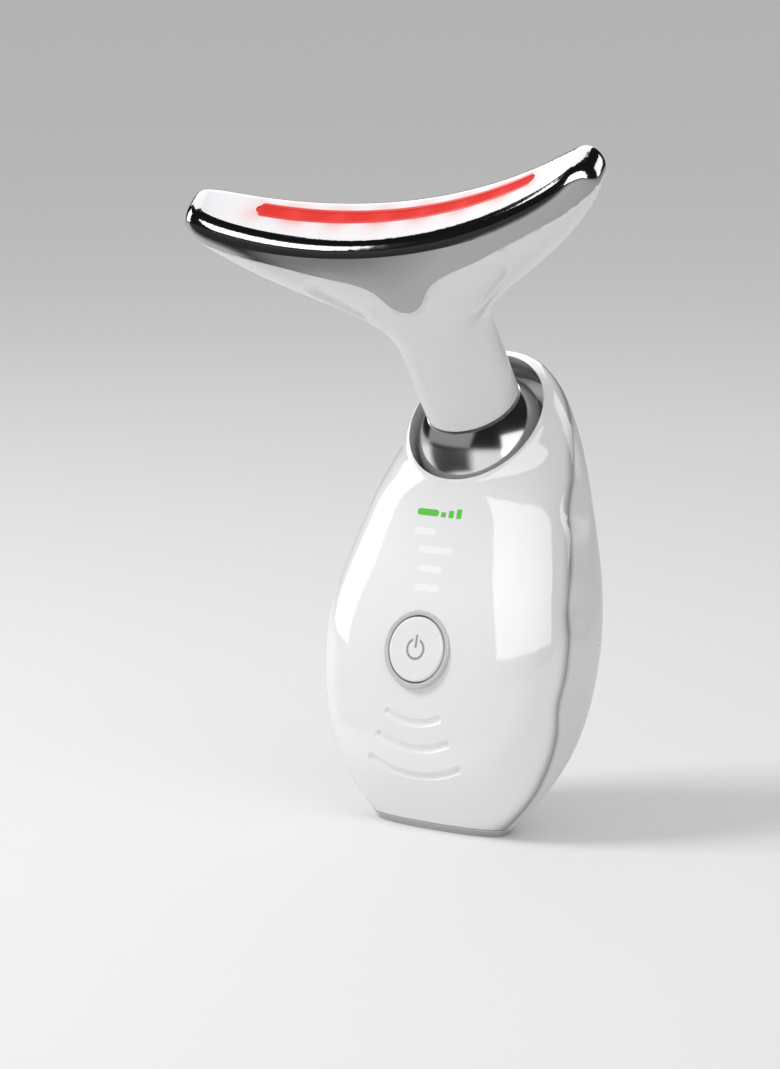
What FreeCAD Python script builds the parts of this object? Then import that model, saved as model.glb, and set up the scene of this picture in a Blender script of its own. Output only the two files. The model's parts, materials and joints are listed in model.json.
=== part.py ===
import FreeCAD, Part
import math
import os

# Face and neck massager. Millimetres, X to the right, Y to the back, Z up, origin on the floor under
# the foot. The handle is drawn upright in its own frame and then leaned back onto its slanted foot.
# The head is drawn in a frame of its own, Z up the neck, with its origin NECK_RISE over the ball's middle.

V = FreeCAD.Vector

# Pose of the stored part
BODY_LEAN = 14.0
HEAD_TILT = 46.0
HEAD_SWIVEL = 14.5

# Handle
BODY_HEIGHT = 104.0
BODY_WIDTH = 61.4
BODY_FRONT = 20.3
BODY_REAR = 15.3
SHELL_WALL = 2.0
FOOT_WALL = 2.0
FOOT_LIP = 1.8
SEAM_GAP = 0.12
LIP_WALL = 0.9
LIP_REACH = 2.0
ROWS = 72
COLUMNS = 72

# Finger dents along the seam
DENT_HEIGHTS = (28.8, 49.8, 70.8)
DENT_DEPTH = 1.0
DENT_UP = 9.0
DENT_DOWN = 6.0
DENT_REACH = 8.5
DENT_BACK = 2.5

# Ball joint
BALL_RADIUS = 13.5
BALL_Y = -6.27
BALL_Z = 86.53
BALL_WALL = 1.6
RIM_ANGLE = 64.0
RIM_AHEAD = 4.79
RIM_RAISE = 0.74
RIM_RADIUS = 16.3
RIM_LIP = 1.2
RIM_HOOD = 1.6
RIM_EDGE = 1.5
COLLAR_WALL = 2.2
COLLAR_DEPTH = 2.8
CUP_GAP = 0.5
CUP_WALL = 1.3
POST_HALF_WIDTH = 3.0
POST_RADIUS = 2.9
PIN_RADIUS = 1.5
PIN_CLEARANCE = 0.03
HUB_GAP = 0.5
WASHER_PLAY = 0.1
TILT_BACK = 15.0
TILT_FORWARD = 30.0
SLOT_EASE = 4.0
CUP_SCREW_RADIUS = 0.6
CUP_SCREW_REACH = 2.5
CUP_SCREW_TURNS = (200.0, 240.0, 300.0, 340.0)
WIRE_EXIT = -7.5
WIRE_EXIT_RADIUS = 2.2

# Swivel on top of the ball
STUD_RADIUS = 4.5
STUD_BORE = 2.6
STUD_CLEARANCE = 0.05
BALL_TOP = 7.5
BALL_EDGE = 0.3
NECK_RISE = 2.4
NECK_BOTTOM = 5.6
NECK_FLOOR = 2.0
CLIP_PLAY = 0.3
CLIP_THICKNESS = 0.8
CLIP_RADIUS = 6.5
CLIP_GROOVE = 0.5
CLIP_MOUTH = 1.5
STUD_TOP = 12.9

# Head
NECK_RADIUS = 10.6
BAR_HALF_LENGTH = 47.8
BAR_FRONT = 10.4
BAR_REAR = 7.4
BAR_TOP = 55.9
BAR_SAG_RADIUS = 96.0
BAR_EDGE = 3.0
HEAD_WALL = 1.6
TONGUE_TIP = 38.4
TONGUE_SHIFT = -1.2
TONGUE_REACH = 17.0
NECK_EDGE = 1.0

# Light strip in the head
STRIP_HALF_LENGTH = 32.2
STRIP_WIDTH = 3.1
STRIP_Y = 0.6
STRIP_RECESS = 0.2
LENS_DEPTH = 2.8
LENS_FLANGE = 1.1
LAMP_COUNT = 6
LAMP_SPACING = 9.6
LAMP_SIZE = 2.8
LAMP_HEIGHT = 0.9
LAMP_BOARD_DEPTH = 5.2
LAMP_BOARD_THICKNESS = 0.8
LAMP_BOARD_WIDTH = 6.2
LAMP_POST_X = 20.0
LAMP_POST_RADIUS = 2.0
LAMP_POST_FOOT = 25.0
LAMP_SCREW_LENGTH = 4.0
FILM_THICKNESS = 0.3
FILM_FRONT_EDGE = 4.4
FILM_REAR_EDGE = 2.4
FILM_GAP = 0.4
SENSOR_X = 12.0
SENSOR_Y = -4.2
SENSOR_SIZE = (3.0, 2.0, 1.2)
SENSOR_GAP = 0.1

# Vibration motor
MOTOR_RADIUS = 5.0
MOTOR_LENGTH = 15.0
MOTOR_BOTTOM = 17.0
SHAFT_RADIUS = 0.75
SHAFT_CLEARANCE = 0.05
WEIGHT_RADIUS = 4.2
WEIGHT_HEIGHT = 4.0
WEIGHT_GAP = 0.8
HOLDER_WALL = 1.2
HOLDER_START = 1.0
HOLDER_ARM_HALF = 2.0
HOLDER_ARM_HEIGHT = 5.0
HOLDER_HEIGHT = 8.0
SHAFT_DEPTH = 2.6
HEAD_WIRE_X = 1.6
HEAD_WIRE_RADIUS = 0.6

# Power button and switch
BUTTON_Z = 37.2
RING_OUTER = 8.5
RING_INNER = 7.4
RING_PROUD = 0.15
RING_DEPTH = 2.6
BUTTON_RADIUS = 7.1
BUTTON_PROUD = 0.35
BUTTON_TRAVEL = 0.5
BUTTON_FLANGE = 0.55
FLANGE_THICKNESS = 0.8
FLANGE_GAP = 0.1
RING_EDGE = 0.35
BUTTON_EDGE = 0.6
MARK_DEPTH = 0.25
MARK_RADIUS = 2.4
MARK_LINE = 0.55
SWITCH_SIZE = 6.0
SWITCH_HEIGHT = 3.0
PLUNGER_RADIUS = 1.7
PLUNGER_CLEARANCE = 0.05
PLUNGER_PLAY = 0.1
SWITCH_WELL = 2.0

# Indicator lights: height, width and X of each mode field; the level row also has three rising bars
LEVEL_Z = 67.0
LEVEL_FIELD = 5.8
BAR_WIDTH = 1.3
BAR_PITCH = 2.0
BAR_HEIGHTS = (1.1, 1.6, 2.1)
MODE_ROWS = ((62.8, 5.5, -3.4), (59.0, 8.8, 0.3), (54.8, 5.8, 0.0), (50.6, 6.2, 0.0))
FIELD_HEIGHT = 1.5

# Arc grooves under the button
GROOVE_RADII = (16.0, 21.6, 27.4)
GROOVE_HALF_ANGLE = 24.5
GROOVE_CUTTER = 1.3
GROOVE_END = 1.35
GROOVE_DEPTH = 0.45
GROOVE_STEPS = 8

# Boards and battery
BOARD_FRONT = -12.0
BOARD_THICKNESS = 1.6
BOARD_HALF_WIDTH = 16.5
BOARD_LOW = 14.0
BOARD_HIGH = 68.6
BOSS_X = 13.0
BOSS_LOW = 17.5
BOSS_HIGH = 64.0
BOSS_RADIUS = 2.4
SCREW_RADIUS = 0.8
SCREW_HEAD_RADIUS = 1.6
SCREW_HEAD = 0.9
SCREW_LENGTH = 2.4
PAD_THICKNESS = 1.6
PAD_HALF_WIDTH = 10.0
PAD_INSET = 6.0
BOARD_CORNER = 3.0
CHIP_SIZE = 8.0
CHIP_HEIGHT = 1.0
CHIP_Z = 23.0
COIL_RADIUS = 2.6
COIL_HEIGHT = 2.4
COIL_X = -10.0
COIL_Z = 25.0
CAPACITOR_SIZE = (2.0, 1.4, 3.2)
CAPACITOR_XS = (8.0, 11.5)
CAPACITOR_Z = 26.6
INDICATOR_SIZE = (1.6, 0.7, 0.8)
INDICATOR_ROOM = 0.3
LEVEL_LAMP_XS = (-3.4, 0.6, 2.6, 4.6)
GUIDE_MARGIN = 1.6
LEAD_RADIUS = 0.6
LEAD_XS = (4.0, 7.0)
WIRE_RADIUS = 0.9
BATTERY_CORNER = 2.0
BATTERY_HALF_WIDTH = 14.0
BATTERY_DEPTH = 8.5
BATTERY_LOW = 15.0
BATTERY_HIGH = 57.0
GUIDE_HALF_WIDTH = 7.4
GUIDE_DEPTH = 2.8
SOCKET_WIDTH = 8.94
SOCKET_HEIGHT = 3.26
SOCKET_LENGTH = 7.4
SOCKET_WALL = 0.3
SOCKET_EASE = 0.15
SOCKET_INSET = 0.5
SOCKET_BACK = 1.0
TONGUE_HALF_WIDTH = 3.3
TONGUE_HALF_THICKNESS = 0.35
TONGUE_INSET = 0.8
CHARGE_BOARD_THICKNESS = 1.0
CHARGE_BOARD_HALF_WIDTH = 7.5
CHARGE_BOARD_HEIGHT = 11.0

# Handle sections from foot to rim, as shares of the height, half width, front and rear:
# front height, rear height, width, front, rear, widest place, front roundness, rear roundness
BODY_SECTIONS = (
    (-0.050, -0.050, 0.380, 0.130, 0.190, 0.42, 2.3, 2.6),
    (-0.020, -0.020, 0.480, 0.230, 0.260, 0.42, 2.3, 2.6),
    (0.015, 0.015, 0.590, 0.370, 0.330, 0.43, 2.4, 2.8),
    (0.050, 0.050, 0.695, 0.550, 0.430, 0.47, 2.5, 3.0),
    (0.100, 0.100, 0.805, 0.745, 0.560, 0.50, 2.6, 3.2),
    (0.170, 0.170, 0.917, 0.865, 0.730, 0.46, 2.7, 3.6),
    (0.250, 0.250, 0.978, 0.925, 0.890, 0.39, 2.8, 3.9),
    (0.340, 0.340, 1.003, 0.985, 0.980, 0.355, 2.8, 4.0),
    (0.430, 0.430, 1.003, 1.003, 1.000, 0.347, 2.8, 4.0),
    (0.520, 0.520, 0.947, 0.960, 1.003, 0.365, 2.8, 4.0),
    (0.600, 0.600, 0.880, 0.905, 0.955, 0.40, 2.8, 3.9),
    (0.662, 0.690, 0.815, 0.892, 0.840, 0.43, 2.7, 3.5),
    (0.690, 0.785, 0.762, 0.888, 0.740, 0.46, 2.5, 3.0),
    (0.703, 0.868, 0.706, 0.884, 0.630, 0.48, 2.3, 2.6),
    (0.709, 0.940, 0.650, 0.880, 0.475, 0.50, 2.2, 2.3),
    (0.711, 1.000, 0.598, 0.876, 0.225, 0.50, 2.1, 2.1),
)

# Seam between the shells, seen from the side: Y and height, from the foot over the top
SEAM_LINE = (
    (-2.8, -8.0), (-2.8, 1.0), (-2.9, 10.0), (-4.6, 19.0), (-7.0, 30.0), (-8.0, 43.0), (-7.5, 55.0),
    (-5.8, 67.0), (-3.2, 79.0), (-1.2, 89.0), (0.2, 98.0), (1.2, 110.0),
)

# Head sections up the neck: height, half length, front and rear as shares, front and rear roundness
HEAD_SECTIONS = (
    (NECK_BOTTOM, None, None, None, 2.0, 2.0),
    (NECK_BOTTOM + NECK_EDGE, None, None, None, 2.0, 2.0),
    (9.0, None, None, None, 2.0, 2.0),
    (12.0, None, None, None, 2.0, 2.0),
    (17.0, None, None, None, 2.0, 2.0),
    (22.0, None, None, None, 2.0, 2.0),
    (26.0, 0.226, 1.02, 1.41, 2.0, 2.0),
    (29.5, 0.248, 1.03, 1.38, 2.0, 2.1),
    (33.0, 0.305, 1.04, 1.33, 2.1, 2.3),
    (37.0, 0.415, 1.04, 1.27, 2.2, 2.6),
    (41.0, 0.560, 1.03, 1.20, 2.3, 2.9),
    (45.5, 0.700, 1.02, 1.13, 2.5, 3.2),
    (50.0, 0.815, 1.01, 1.07, 2.8, 3.5),
    (54.5, 0.912, 1.00, 1.03, 3.0, 3.4),
    (58.5, 0.978, 1.00, 1.00, 3.5, 3.8),
    (61.5, 1.003, 1.00, 1.00, 3.8, 4.2),
    (64.0, 0.990, 0.99, 1.00, 3.8, 4.2),
    (66.5, 0.945, 0.98, 0.99, 3.8, 4.2),
    (69.0, 0.860, 0.97, 0.98, 3.8, 4.2),
    (71.5, 0.740, 0.96, 0.97, 3.8, 4.2),
)

# Lower border of the massage plate on the front: X and height of one side
PLATE_BORDER = (
    (0.0, TONGUE_TIP), (3.6, 40.2), (5.8, 43.4), (9.6, 46.2), (17.0, 48.8), (26.0, 52.2), (36.0, 55.8),
    (44.0, 59.2), (54.0, 64.5),
)
# The same on the back, without the tongue
PLATE_BORDER_BACK = (
    (0.0, 46.6), (8.0, 47.0), (17.0, 49.2), (26.0, 52.3), (36.0, 55.9), (44.0, 59.2), (54.0, 64.5),
)

BIG = 200.0
LEAN = FreeCAD.Placement(V(0, 0, 0), FreeCAD.Rotation(V(1, 0, 0), -BODY_LEAN))
BALL_CENTRE = V(0, BALL_Y, BALL_Z)
CUP_FRAME = FreeCAD.Placement(BALL_CENTRE, FreeCAD.Rotation(V(1, 0, 0), RIM_ANGLE))
RIM_FRAME = CUP_FRAME.multiply(FreeCAD.Placement(V(0, RIM_RAISE, 0), FreeCAD.Rotation()))
BALL_FRAME = FreeCAD.Placement(BALL_CENTRE, FreeCAD.Rotation(V(1, 0, 0), HEAD_TILT))
SWIVEL = FreeCAD.Placement(V(0, 0, NECK_RISE), FreeCAD.Rotation(V(0, 0, 1), HEAD_SWIVEL))
HEAD_FRAME = BALL_FRAME.multiply(SWIVEL)


# Small helpers

def moved(shape, placement):
    """A copy of the shape carried by the placement."""
    copy = shape.copy()
    copy.Placement = placement.multiply(copy.Placement)
    return copy


def block(x0, x1, y0, y1, z0, z1):
    """A box between two corners."""
    return Part.makeBox(x1 - x0, y1 - y0, z1 - z0, V(x0, y0, z0))


def rod(radius, start, end):
    """A round bar between two points."""
    along = end - start
    return Part.makeCylinder(radius, along.Length, start, along)


def tube(inner, outer, z0, z1):
    """A ring about Z."""
    return rod(outer, V(0, 0, z0), V(0, 0, z1)).cut(rod(inner, V(0, 0, z0), V(0, 0, z1)))


def fuse_all(shapes):
    """One solid out of touching ones."""
    whole = shapes[0]
    for shape in shapes[1:]:
        whole = whole.fuse(shape)
    return whole.removeSplitter()


def extruded(points, direction):
    """A prism on a closed outline of straight lines."""
    wire = Part.makePolygon(points + [points[0]])
    return Part.Face(wire).extrude(direction)


def smooth_line(points):
    """A smooth curve through the points."""
    curve = Part.BSplineCurve()
    curve.interpolate(points)
    return curve


def strand(radius, points):
    """A wire of round section along a smooth curve."""
    curve = smooth_line(points)
    ring = Part.Circle(points[0], curve.tangent(curve.FirstParameter)[0], radius)
    path = Part.Wire(curve.toShape())
    return path.makePipeShell([Part.Wire(ring.toShape())], True, True)


def solids(shapes):
    """Several separate solids as one node."""
    return Part.makeCompound(shapes)


def biggest(shape):
    """The largest solid of a cut, without slivers."""
    return max(shape.Solids, key=lambda s: s.Volume)


# Skins: closed smooth surfaces through rows of section points

def skin(rows):
    """A solid bounded by a smooth closed surface over the rows and by flat ends."""
    count, around = len(rows), len(rows[0])
    along_knots = list(range(count - 2))
    along_mults = [4] + [1] * (count - 4) + [4]
    surface = Part.BSplineSurface()
    surface.buildFromPolesMultsKnots(
        rows, along_mults, [1] * (around + 1), along_knots, list(range(around + 1)), False, True, 3, 3
    )
    side = surface.toShape()
    ends = [edge for edge in side.Edges if edge.isClosed()]
    caps = [Part.Face(Part.Wire(edge)) for edge in ends]
    shell = Part.Shell([side] + caps)
    shell.sewShape()
    solid = Part.Solid(shell)
    if solid.Volume < 0:
        solid.reverse()
    return solid


def section(front, rear, half_width, widest, front_power, rear_power, dent):
    """Points around one section between a front and a rear point of the middle plane."""
    along = rear - front
    depth = along.Length
    along.normalize()
    middle = front + along * (depth * widest)
    points = []
    for index in range(COLUMNS):
        angle = 2 * math.pi * (index + 0.5) / COLUMNS
        across, back = math.cos(angle), math.sin(angle)
        power = rear_power if back > 0 else front_power
        reach = depth * ((1 - widest) if back > 0 else widest)
        size = (abs(across) ** power + abs(back) ** power) ** (-1 / power)
        point = middle + V(half_width * size * across, 0, 0) + along * (reach * size * back)
        point.x -= math.copysign(min(dent(point), abs(point.x)), point.x)
        points.append(point)
    return points


def no_dent(point):
    """A plain surface."""
    return 0.0


def seam_place(height):
    """Y of the seam at a height."""
    low = max([p for p in SEAM_LINE if p[1] <= height], key=lambda p: p[1])
    high = min([p for p in SEAM_LINE if p[1] > height], key=lambda p: p[1])
    share = (height - low[1]) / (high[1] - low[1])
    return low[0] + share * (high[0] - low[0])


def finger_dents(point):
    """Depth of the finger dents at a point of the handle."""
    depth = 0.0
    for height in DENT_HEIGHTS:
        rise = point.z - height
        tall = rise / (DENT_UP if rise > 0 else DENT_DOWN)
        wide = (point.y - seam_place(height) - DENT_BACK) / DENT_REACH
        away = tall * tall + wide * wide
        if away < 1:
            depth += DENT_DEPTH * (1 - away) ** 2
    return depth


def sampled(values, share):
    """A smooth value a share of the way along a row of values."""
    curve = Part.BSplineCurve()
    curve.buildFromPoles([V(value, 0, 0) for value in values], False, 3)
    return curve.value(share).x


def body_skin(inset, dent=no_dent):
    """The handle's outside, or the same surface moved inwards."""
    columns = [list(column) for column in zip(*BODY_SECTIONS)]
    lip = RIM_RADIUS + RIM_LIP
    turned = lip - RIM_EDGE
    front_rim = [RIM_FRAME.multVec(V(0, -reach, RIM_AHEAD)) for reach in (lip, turned)]
    rear_rim = [RIM_FRAME.multVec(V(0, reach, RIM_AHEAD)) for reach in (lip + RIM_HOOD, turned)]
    front_z = [share * BODY_HEIGHT for share in columns[0]] + [point.z for point in front_rim]
    rear_z = [share * BODY_HEIGHT for share in columns[1]] + [point.z for point in rear_rim]
    width = [share * BODY_WIDTH / 2 for share in columns[2]] + [lip, turned]
    front_y = [-share * BODY_FRONT for share in columns[3]] + [point.y for point in front_rim]
    rear_y = [share * BODY_REAR for share in columns[4]] + [point.y for point in rear_rim]
    widest = columns[5] + [0.5, 0.5]
    front_power = columns[6] + [2.0, 2.0]
    rear_power = columns[7] + [2.0, 2.0]
    rows = []
    for index in range(ROWS):
        share = index / (ROWS - 1)
        front = V(0, sampled(front_y, share), sampled(front_z, share))
        rear = V(0, sampled(rear_y, share), sampled(rear_z, share))
        along = rear - front
        along.normalize()
        rows.append(section(
            front + along * inset, rear - along * inset, sampled(width, share) - inset,
            sampled(widest, share), sampled(front_power, share), sampled(rear_power, share), dent,
        ))
    return skin(rows)


def head_skin(inset):
    """The outside of neck and head up to above the bar, or the same surface moved inwards."""
    turned = NECK_RADIUS - NECK_EDGE - inset
    ends = [V(0, -turned, NECK_BOTTOM), V(0, turned, NECK_BOTTOM)]
    rows = [section(ends[0], ends[1], turned, 0.5, 2.0, 2.0, no_dent)]
    for height, length, front, rear, front_power, rear_power in HEAD_SECTIONS:
        half = NECK_RADIUS if length is None else length * BAR_HALF_LENGTH
        ahead = NECK_RADIUS if front is None else front * BAR_FRONT
        behind = NECK_RADIUS if rear is None else rear * BAR_REAR
        widest = ahead / (ahead + behind)
        rows.append(section(
            V(0, -ahead + inset, height), V(0, behind - inset, height), half - inset,
            widest, front_power, rear_power, no_dent,
        ))
    return skin(rows)


def sag_arc(depth):
    """Outline points of the hollow top line at a depth under it: left, middle, right."""
    radius = BAR_SAG_RADIUS + depth
    centre = BAR_TOP + BAR_SAG_RADIUS
    edge = BAR_HALF_LENGTH * 1.3
    low = centre - math.sqrt(radius * radius - edge * edge)
    return V(-edge, -BIG, low), V(0, -BIG, centre - radius), V(edge, -BIG, low)


def above_sag(depth):
    """Everything over the hollow top line at a depth under it."""
    left, middle, right = sag_arc(depth)
    arc = Part.Arc(left, middle, right).toShape()
    up = V(0, 0, BIG)
    sides = [
        Part.makeLine(right, right + up), Part.makeLine(right + up, left + up),
        Part.makeLine(left + up, left),
    ]
    return Part.Face(Part.Wire([arc] + sides)).extrude(V(0, 2 * BIG, 0))


def sag_strip(depth, thickness, half_length, y0, y1):
    """A strip that follows the hollow top line."""
    layer = above_sag(depth + thickness).cut(above_sag(depth))
    return layer.common(block(-half_length, half_length, y0, y1, 0, BIG))


def on_sag(shape, x, depth):
    """Stands a shape, drawn about the origin with Z up, on the hollow line at a depth under the top."""
    angle = math.degrees(math.asin(x / (BAR_SAG_RADIUS + depth)))
    centre = V(0, 0, BAR_TOP + BAR_SAG_RADIUS)
    turn = FreeCAD.Placement(centre, FreeCAD.Rotation(V(0, 1, 0), -angle))
    drop = FreeCAD.Placement(V(0, 0, -BAR_SAG_RADIUS - depth), FreeCAD.Rotation())
    return moved(shape, turn.multiply(drop))


def border_region(border, y0, y1, shift):
    """Everything over a border line of the massage plate, between two depths, its middle moved sideways."""
    moves = [shift * max(0.0, 1 - x / TONGUE_REACH) for x, z in border]
    right = [V(x + move, y0, z) for (x, z), move in zip(border, moves)]
    left = [V(-x + move, y0, z) for (x, z), move in zip(border[:0:-1], moves[:0:-1])]
    line = smooth_line(left + right).toShape()
    first, last = left[0], right[-1]
    up = V(0, 0, BIG)
    sides = [
        Part.makeLine(last, last + up), Part.makeLine(last + up, first + up),
        Part.makeLine(first + up, first),
    ]
    return Part.Face(Part.Wire([line] + sides)).extrude(V(0, y1 - y0, 0))


def ahead_of_seam(shift):
    """Everything in front of the seam, with the seam moved back by a distance."""
    points = [V(-BIG, y + shift, z) for y, z in SEAM_LINE]
    line = smooth_line(points).toShape()
    low, high = points[0], points[-1]
    front = V(0, -BIG, 0)
    sides = [
        Part.makeLine(high, high + front), Part.makeLine(high + front, low + front),
        Part.makeLine(low + front, low),
    ]
    return Part.Face(Part.Wire([line] + sides)).extrude(V(2 * BIG, 0, 0))


def floor_block(height):
    """Everything up to a height above the floor, in the leaning handle's own frame."""
    slab = block(-BIG, BIG, -BIG, BIG, -BIG, height)
    return moved(slab, LEAN.inverse())


def field(width, height, x, z):
    """A lying rounded field through the front wall."""
    radius = height / 2
    half = width / 2 - radius
    middle = block(x - half, x + half, -BIG, BOARD_FRONT, z - radius, z + radius)
    ends = [rod(radius, V(x + end, -BIG, z), V(x + end, BOARD_FRONT, z)) for end in (-half, half)]
    return fuse_all([middle] + ends)


# Handle

def level_fields():
    """The level row: one field and three rising bars."""
    left = -BAR_PITCH * len(BAR_HEIGHTS) / 2 - 0.4
    shapes = [field(LEVEL_FIELD, FIELD_HEIGHT, left, LEVEL_Z)]
    start = left + LEVEL_FIELD / 2 + BAR_PITCH * 0.6
    for index, height in enumerate(BAR_HEIGHTS):
        x = start + index * BAR_PITCH
        low = LEVEL_Z - FIELD_HEIGHT / 2
        shapes.append(block(x - BAR_WIDTH / 2, x + BAR_WIDTH / 2, -BIG, BOARD_FRONT, low, low + height))
    return shapes


def mode_fields():
    """The four mode rows."""
    return [field(width, FIELD_HEIGHT, x, z) for z, width, x in MODE_ROWS]


def front_point(solid, place):
    """Point of a solid's front at an X and a height."""
    x, z = place
    edge = Part.makeLine(V(x, -BIG, z), V(x, 0, z)).common(solid)
    return min([vertex.Point for vertex in edge.Vertexes], key=lambda point: point.y)


def groove_line(outside, radius):
    """Middle line of one arc groove's round cutter, just over the front."""
    points = []
    for step in range(GROOVE_STEPS + 1):
        turn = math.radians(GROOVE_HALF_ANGLE * (2 * step / GROOVE_STEPS - 1))
        place = (radius * math.sin(turn), BUTTON_Z - radius * math.cos(turn))
        points.append(front_point(outside, place) - V(0, GROOVE_CUTTER - GROOVE_DEPTH, 0))
    return points


def grooves(outside):
    """Round-bottomed arc grooves under the button, with round ends."""
    shapes = []
    for radius in GROOVE_RADII:
        line = groove_line(outside, radius)
        shapes.append(strand(GROOVE_CUTTER, line))
        shapes += [Part.makeSphere(GROOVE_END, end) for end in (line[0], line[-1])]
    return shapes


def boss_places():
    """X and height of the four board screws."""
    return [(side * BOSS_X, z) for side in (-1, 1) for z in (BOSS_LOW, BOSS_HIGH)]


def cup_screw_places():
    """Places of the four cup screws round the opening, in the rim's frame."""
    radius = RIM_RADIUS + COLLAR_WALL / 2
    turns = [math.radians(turn) for turn in CUP_SCREW_TURNS]
    return [V(radius * math.cos(turn), radius * math.sin(turn), 0) for turn in turns]


def cup_screw_shank(place):
    """Shank of a cup screw through flange and collar, also its hole."""
    start = place + V(0, 0, -COLLAR_DEPTH - CUP_WALL)
    return moved(rod(CUP_SCREW_RADIUS, start, place + V(0, 0, CUP_SCREW_REACH - COLLAR_DEPTH)), RIM_FRAME)


def cup_screw(place):
    """One cup screw, its head under the flange."""
    seat = place + V(0, 0, -COLLAR_DEPTH - CUP_WALL)
    head = rod(2 * CUP_SCREW_RADIUS, seat - V(0, 0, CUP_SCREW_RADIUS), seat)
    return cup_screw_shank(place).fuse(moved(head, RIM_FRAME))


def board_screw(x, z):
    """One board screw, head behind the board."""
    back = BOARD_FRONT + BOARD_THICKNESS
    shank = rod(SCREW_RADIUS, V(x, BOARD_FRONT - SCREW_LENGTH, z), V(x, back, z))
    return shank.fuse(rod(SCREW_HEAD_RADIUS, V(x, back, z), V(x, back + SCREW_HEAD, z)))


def make_shells():
    """Front and rear shell, and the light fields set into the front."""
    outside = body_skin(0.0, finger_dents)
    inside = body_skin(SHELL_WALL).cut(floor_block(FOOT_WALL))
    lip_inside = body_skin(SHELL_WALL + LIP_WALL)
    half_wall = body_skin(SHELL_WALL / 2)
    wall = outside.cut(inside)
    bore = moved(rod(RIM_RADIUS, V(0, 0, -COLLAR_DEPTH), V(0, 0, BIG)), RIM_FRAME)

    ahead = ahead_of_seam(0.0)
    front = wall.common(ahead).cut(floor_block(FOOT_LIP))
    band = ahead_of_seam(LIP_REACH).cut(ahead_of_seam(-LIP_REACH))
    lip = inside.cut(lip_inside).common(band).cut(floor_block(FOOT_WALL + LIP_REACH))
    collar = moved(tube(RIM_RADIUS, RIM_RADIUS + COLLAR_WALL, -COLLAR_DEPTH, RIM_AHEAD), RIM_FRAME)
    under_collar = V(0, 0, -COLLAR_DEPTH - 2 * CUP_WALL)
    around = moved(rod(RIM_RADIUS + COLLAR_WALL + SEAM_GAP, under_collar, V(0, 0, BIG)), RIM_FRAME)
    bosses = [
        rod(BOSS_RADIUS, V(x, -BIG / 4, z), V(x, BOARD_FRONT, z)).common(half_wall) for x, z in boss_places()
    ]
    front = fuse_all([front, lip.cut(around), collar.common(half_wall)] + bosses)
    front = front.cut(bore)
    for x, z in boss_places():
        front = front.cut(rod(SCREW_RADIUS, V(x, BOARD_FRONT - SCREW_LENGTH, z), V(x, BOARD_FRONT, z)))
    for place in cup_screw_places():
        front = front.cut(cup_screw_shank(place))
    front = front.cut(rod(RING_OUTER, V(0, -BIG, BUTTON_Z), V(0, BOARD_FRONT, BUTTON_Z)))
    fields = level_fields() + mode_fields()
    for shape in fields:
        front = front.cut(shape)
    for shape in grooves(outside):
        front = front.cut(shape)

    behind = ahead_of_seam(SEAM_GAP).cut(floor_block(FOOT_LIP - SEAM_GAP))
    pocket = around.common(body_skin(SHELL_WALL / 2 - SEAM_GAP))
    rear = wall.cut(behind).cut(floor_block(0.0)).cut(pocket)
    level = solids([biggest(shape.common(wall)) for shape in level_fields()])
    mode = solids([biggest(shape.common(wall)) for shape in mode_fields()])
    return biggest(front), biggest(rear), level, mode


def on_button_axis(y):
    """Point of the button's axis at a depth."""
    return V(0, y, BUTTON_Z)


def button_rod(radius, y0, y1):
    """A round bar on the button's axis."""
    return rod(radius, on_button_axis(y0), on_button_axis(y1))


def rounded_front(shape, y, radius):
    """The shape with the edges of its front face rounded."""
    return shape.makeFillet(radius, [e for e in shape.Edges if abs(e.CenterOfMass.y - y) < 0.01])


def make_button_parts():
    """Ring, cap with its mark, and the switch under it."""
    ring_front = -BODY_FRONT - RING_PROUD
    ring_back = ring_front + RING_DEPTH
    ring = button_rod(RING_OUTER, ring_front, ring_back).cut(button_rod(RING_INNER, -BIG, BIG))
    ring = rounded_front(ring, ring_front, RING_EDGE)

    top = -BODY_FRONT - BUTTON_PROUD
    flange_front = ring_back + FLANGE_GAP
    flange_back = flange_front + FLANGE_THICKNESS
    switch_front = BOARD_FRONT - SWITCH_HEIGHT
    plunger_top = switch_front - BUTTON_TRAVEL - 2 * PLUNGER_PLAY
    cap = rounded_front(button_rod(BUTTON_RADIUS, top, flange_back), top, BUTTON_EDGE)
    flange = button_rod(RING_INNER + BUTTON_FLANGE, flange_front, flange_back)
    stem = button_rod(PLUNGER_RADIUS, top + BUTTON_EDGE, plunger_top - PLUNGER_PLAY)
    cap = fuse_all([cap, flange, stem])

    mark_back = top + MARK_DEPTH
    mark_ring = button_rod(MARK_RADIUS, top, mark_back)
    mark_ring = mark_ring.cut(button_rod(MARK_RADIUS - MARK_LINE, top, mark_back))
    gap = block(-MARK_LINE * 1.6, MARK_LINE * 1.6, -BIG, BIG, BUTTON_Z, BUTTON_Z + BIG)
    stroke_low = BUTTON_Z + MARK_LINE / 2
    stroke_high = BUTTON_Z + MARK_RADIUS + 1.3 * MARK_LINE
    stroke = block(-MARK_LINE / 2, MARK_LINE / 2, top, mark_back, stroke_low, stroke_high)
    mark = solids([biggest(mark_ring.cut(gap)), stroke])
    cap = cap.cut(mark)

    half = SWITCH_SIZE / 2
    well = switch_front + SWITCH_WELL
    switch = block(-half, half, switch_front, BOARD_FRONT, BUTTON_Z - half, BUTTON_Z + half)
    switch = switch.cut(button_rod(PLUNGER_RADIUS + PLUNGER_CLEARANCE, -BIG, well))
    plunger = button_rod(PLUNGER_RADIUS, plunger_top, well - BUTTON_TRAVEL - PLUNGER_PLAY)
    return ring, cap, mark, switch, plunger


def on_board(size, x, z):
    """A small block on the front of the control board, its middle at X and a height."""
    width, height, tall = size
    return block(x - width / 2, x + width / 2, BOARD_FRONT - height, BOARD_FRONT, z - tall / 2, z + tall / 2)


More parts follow.
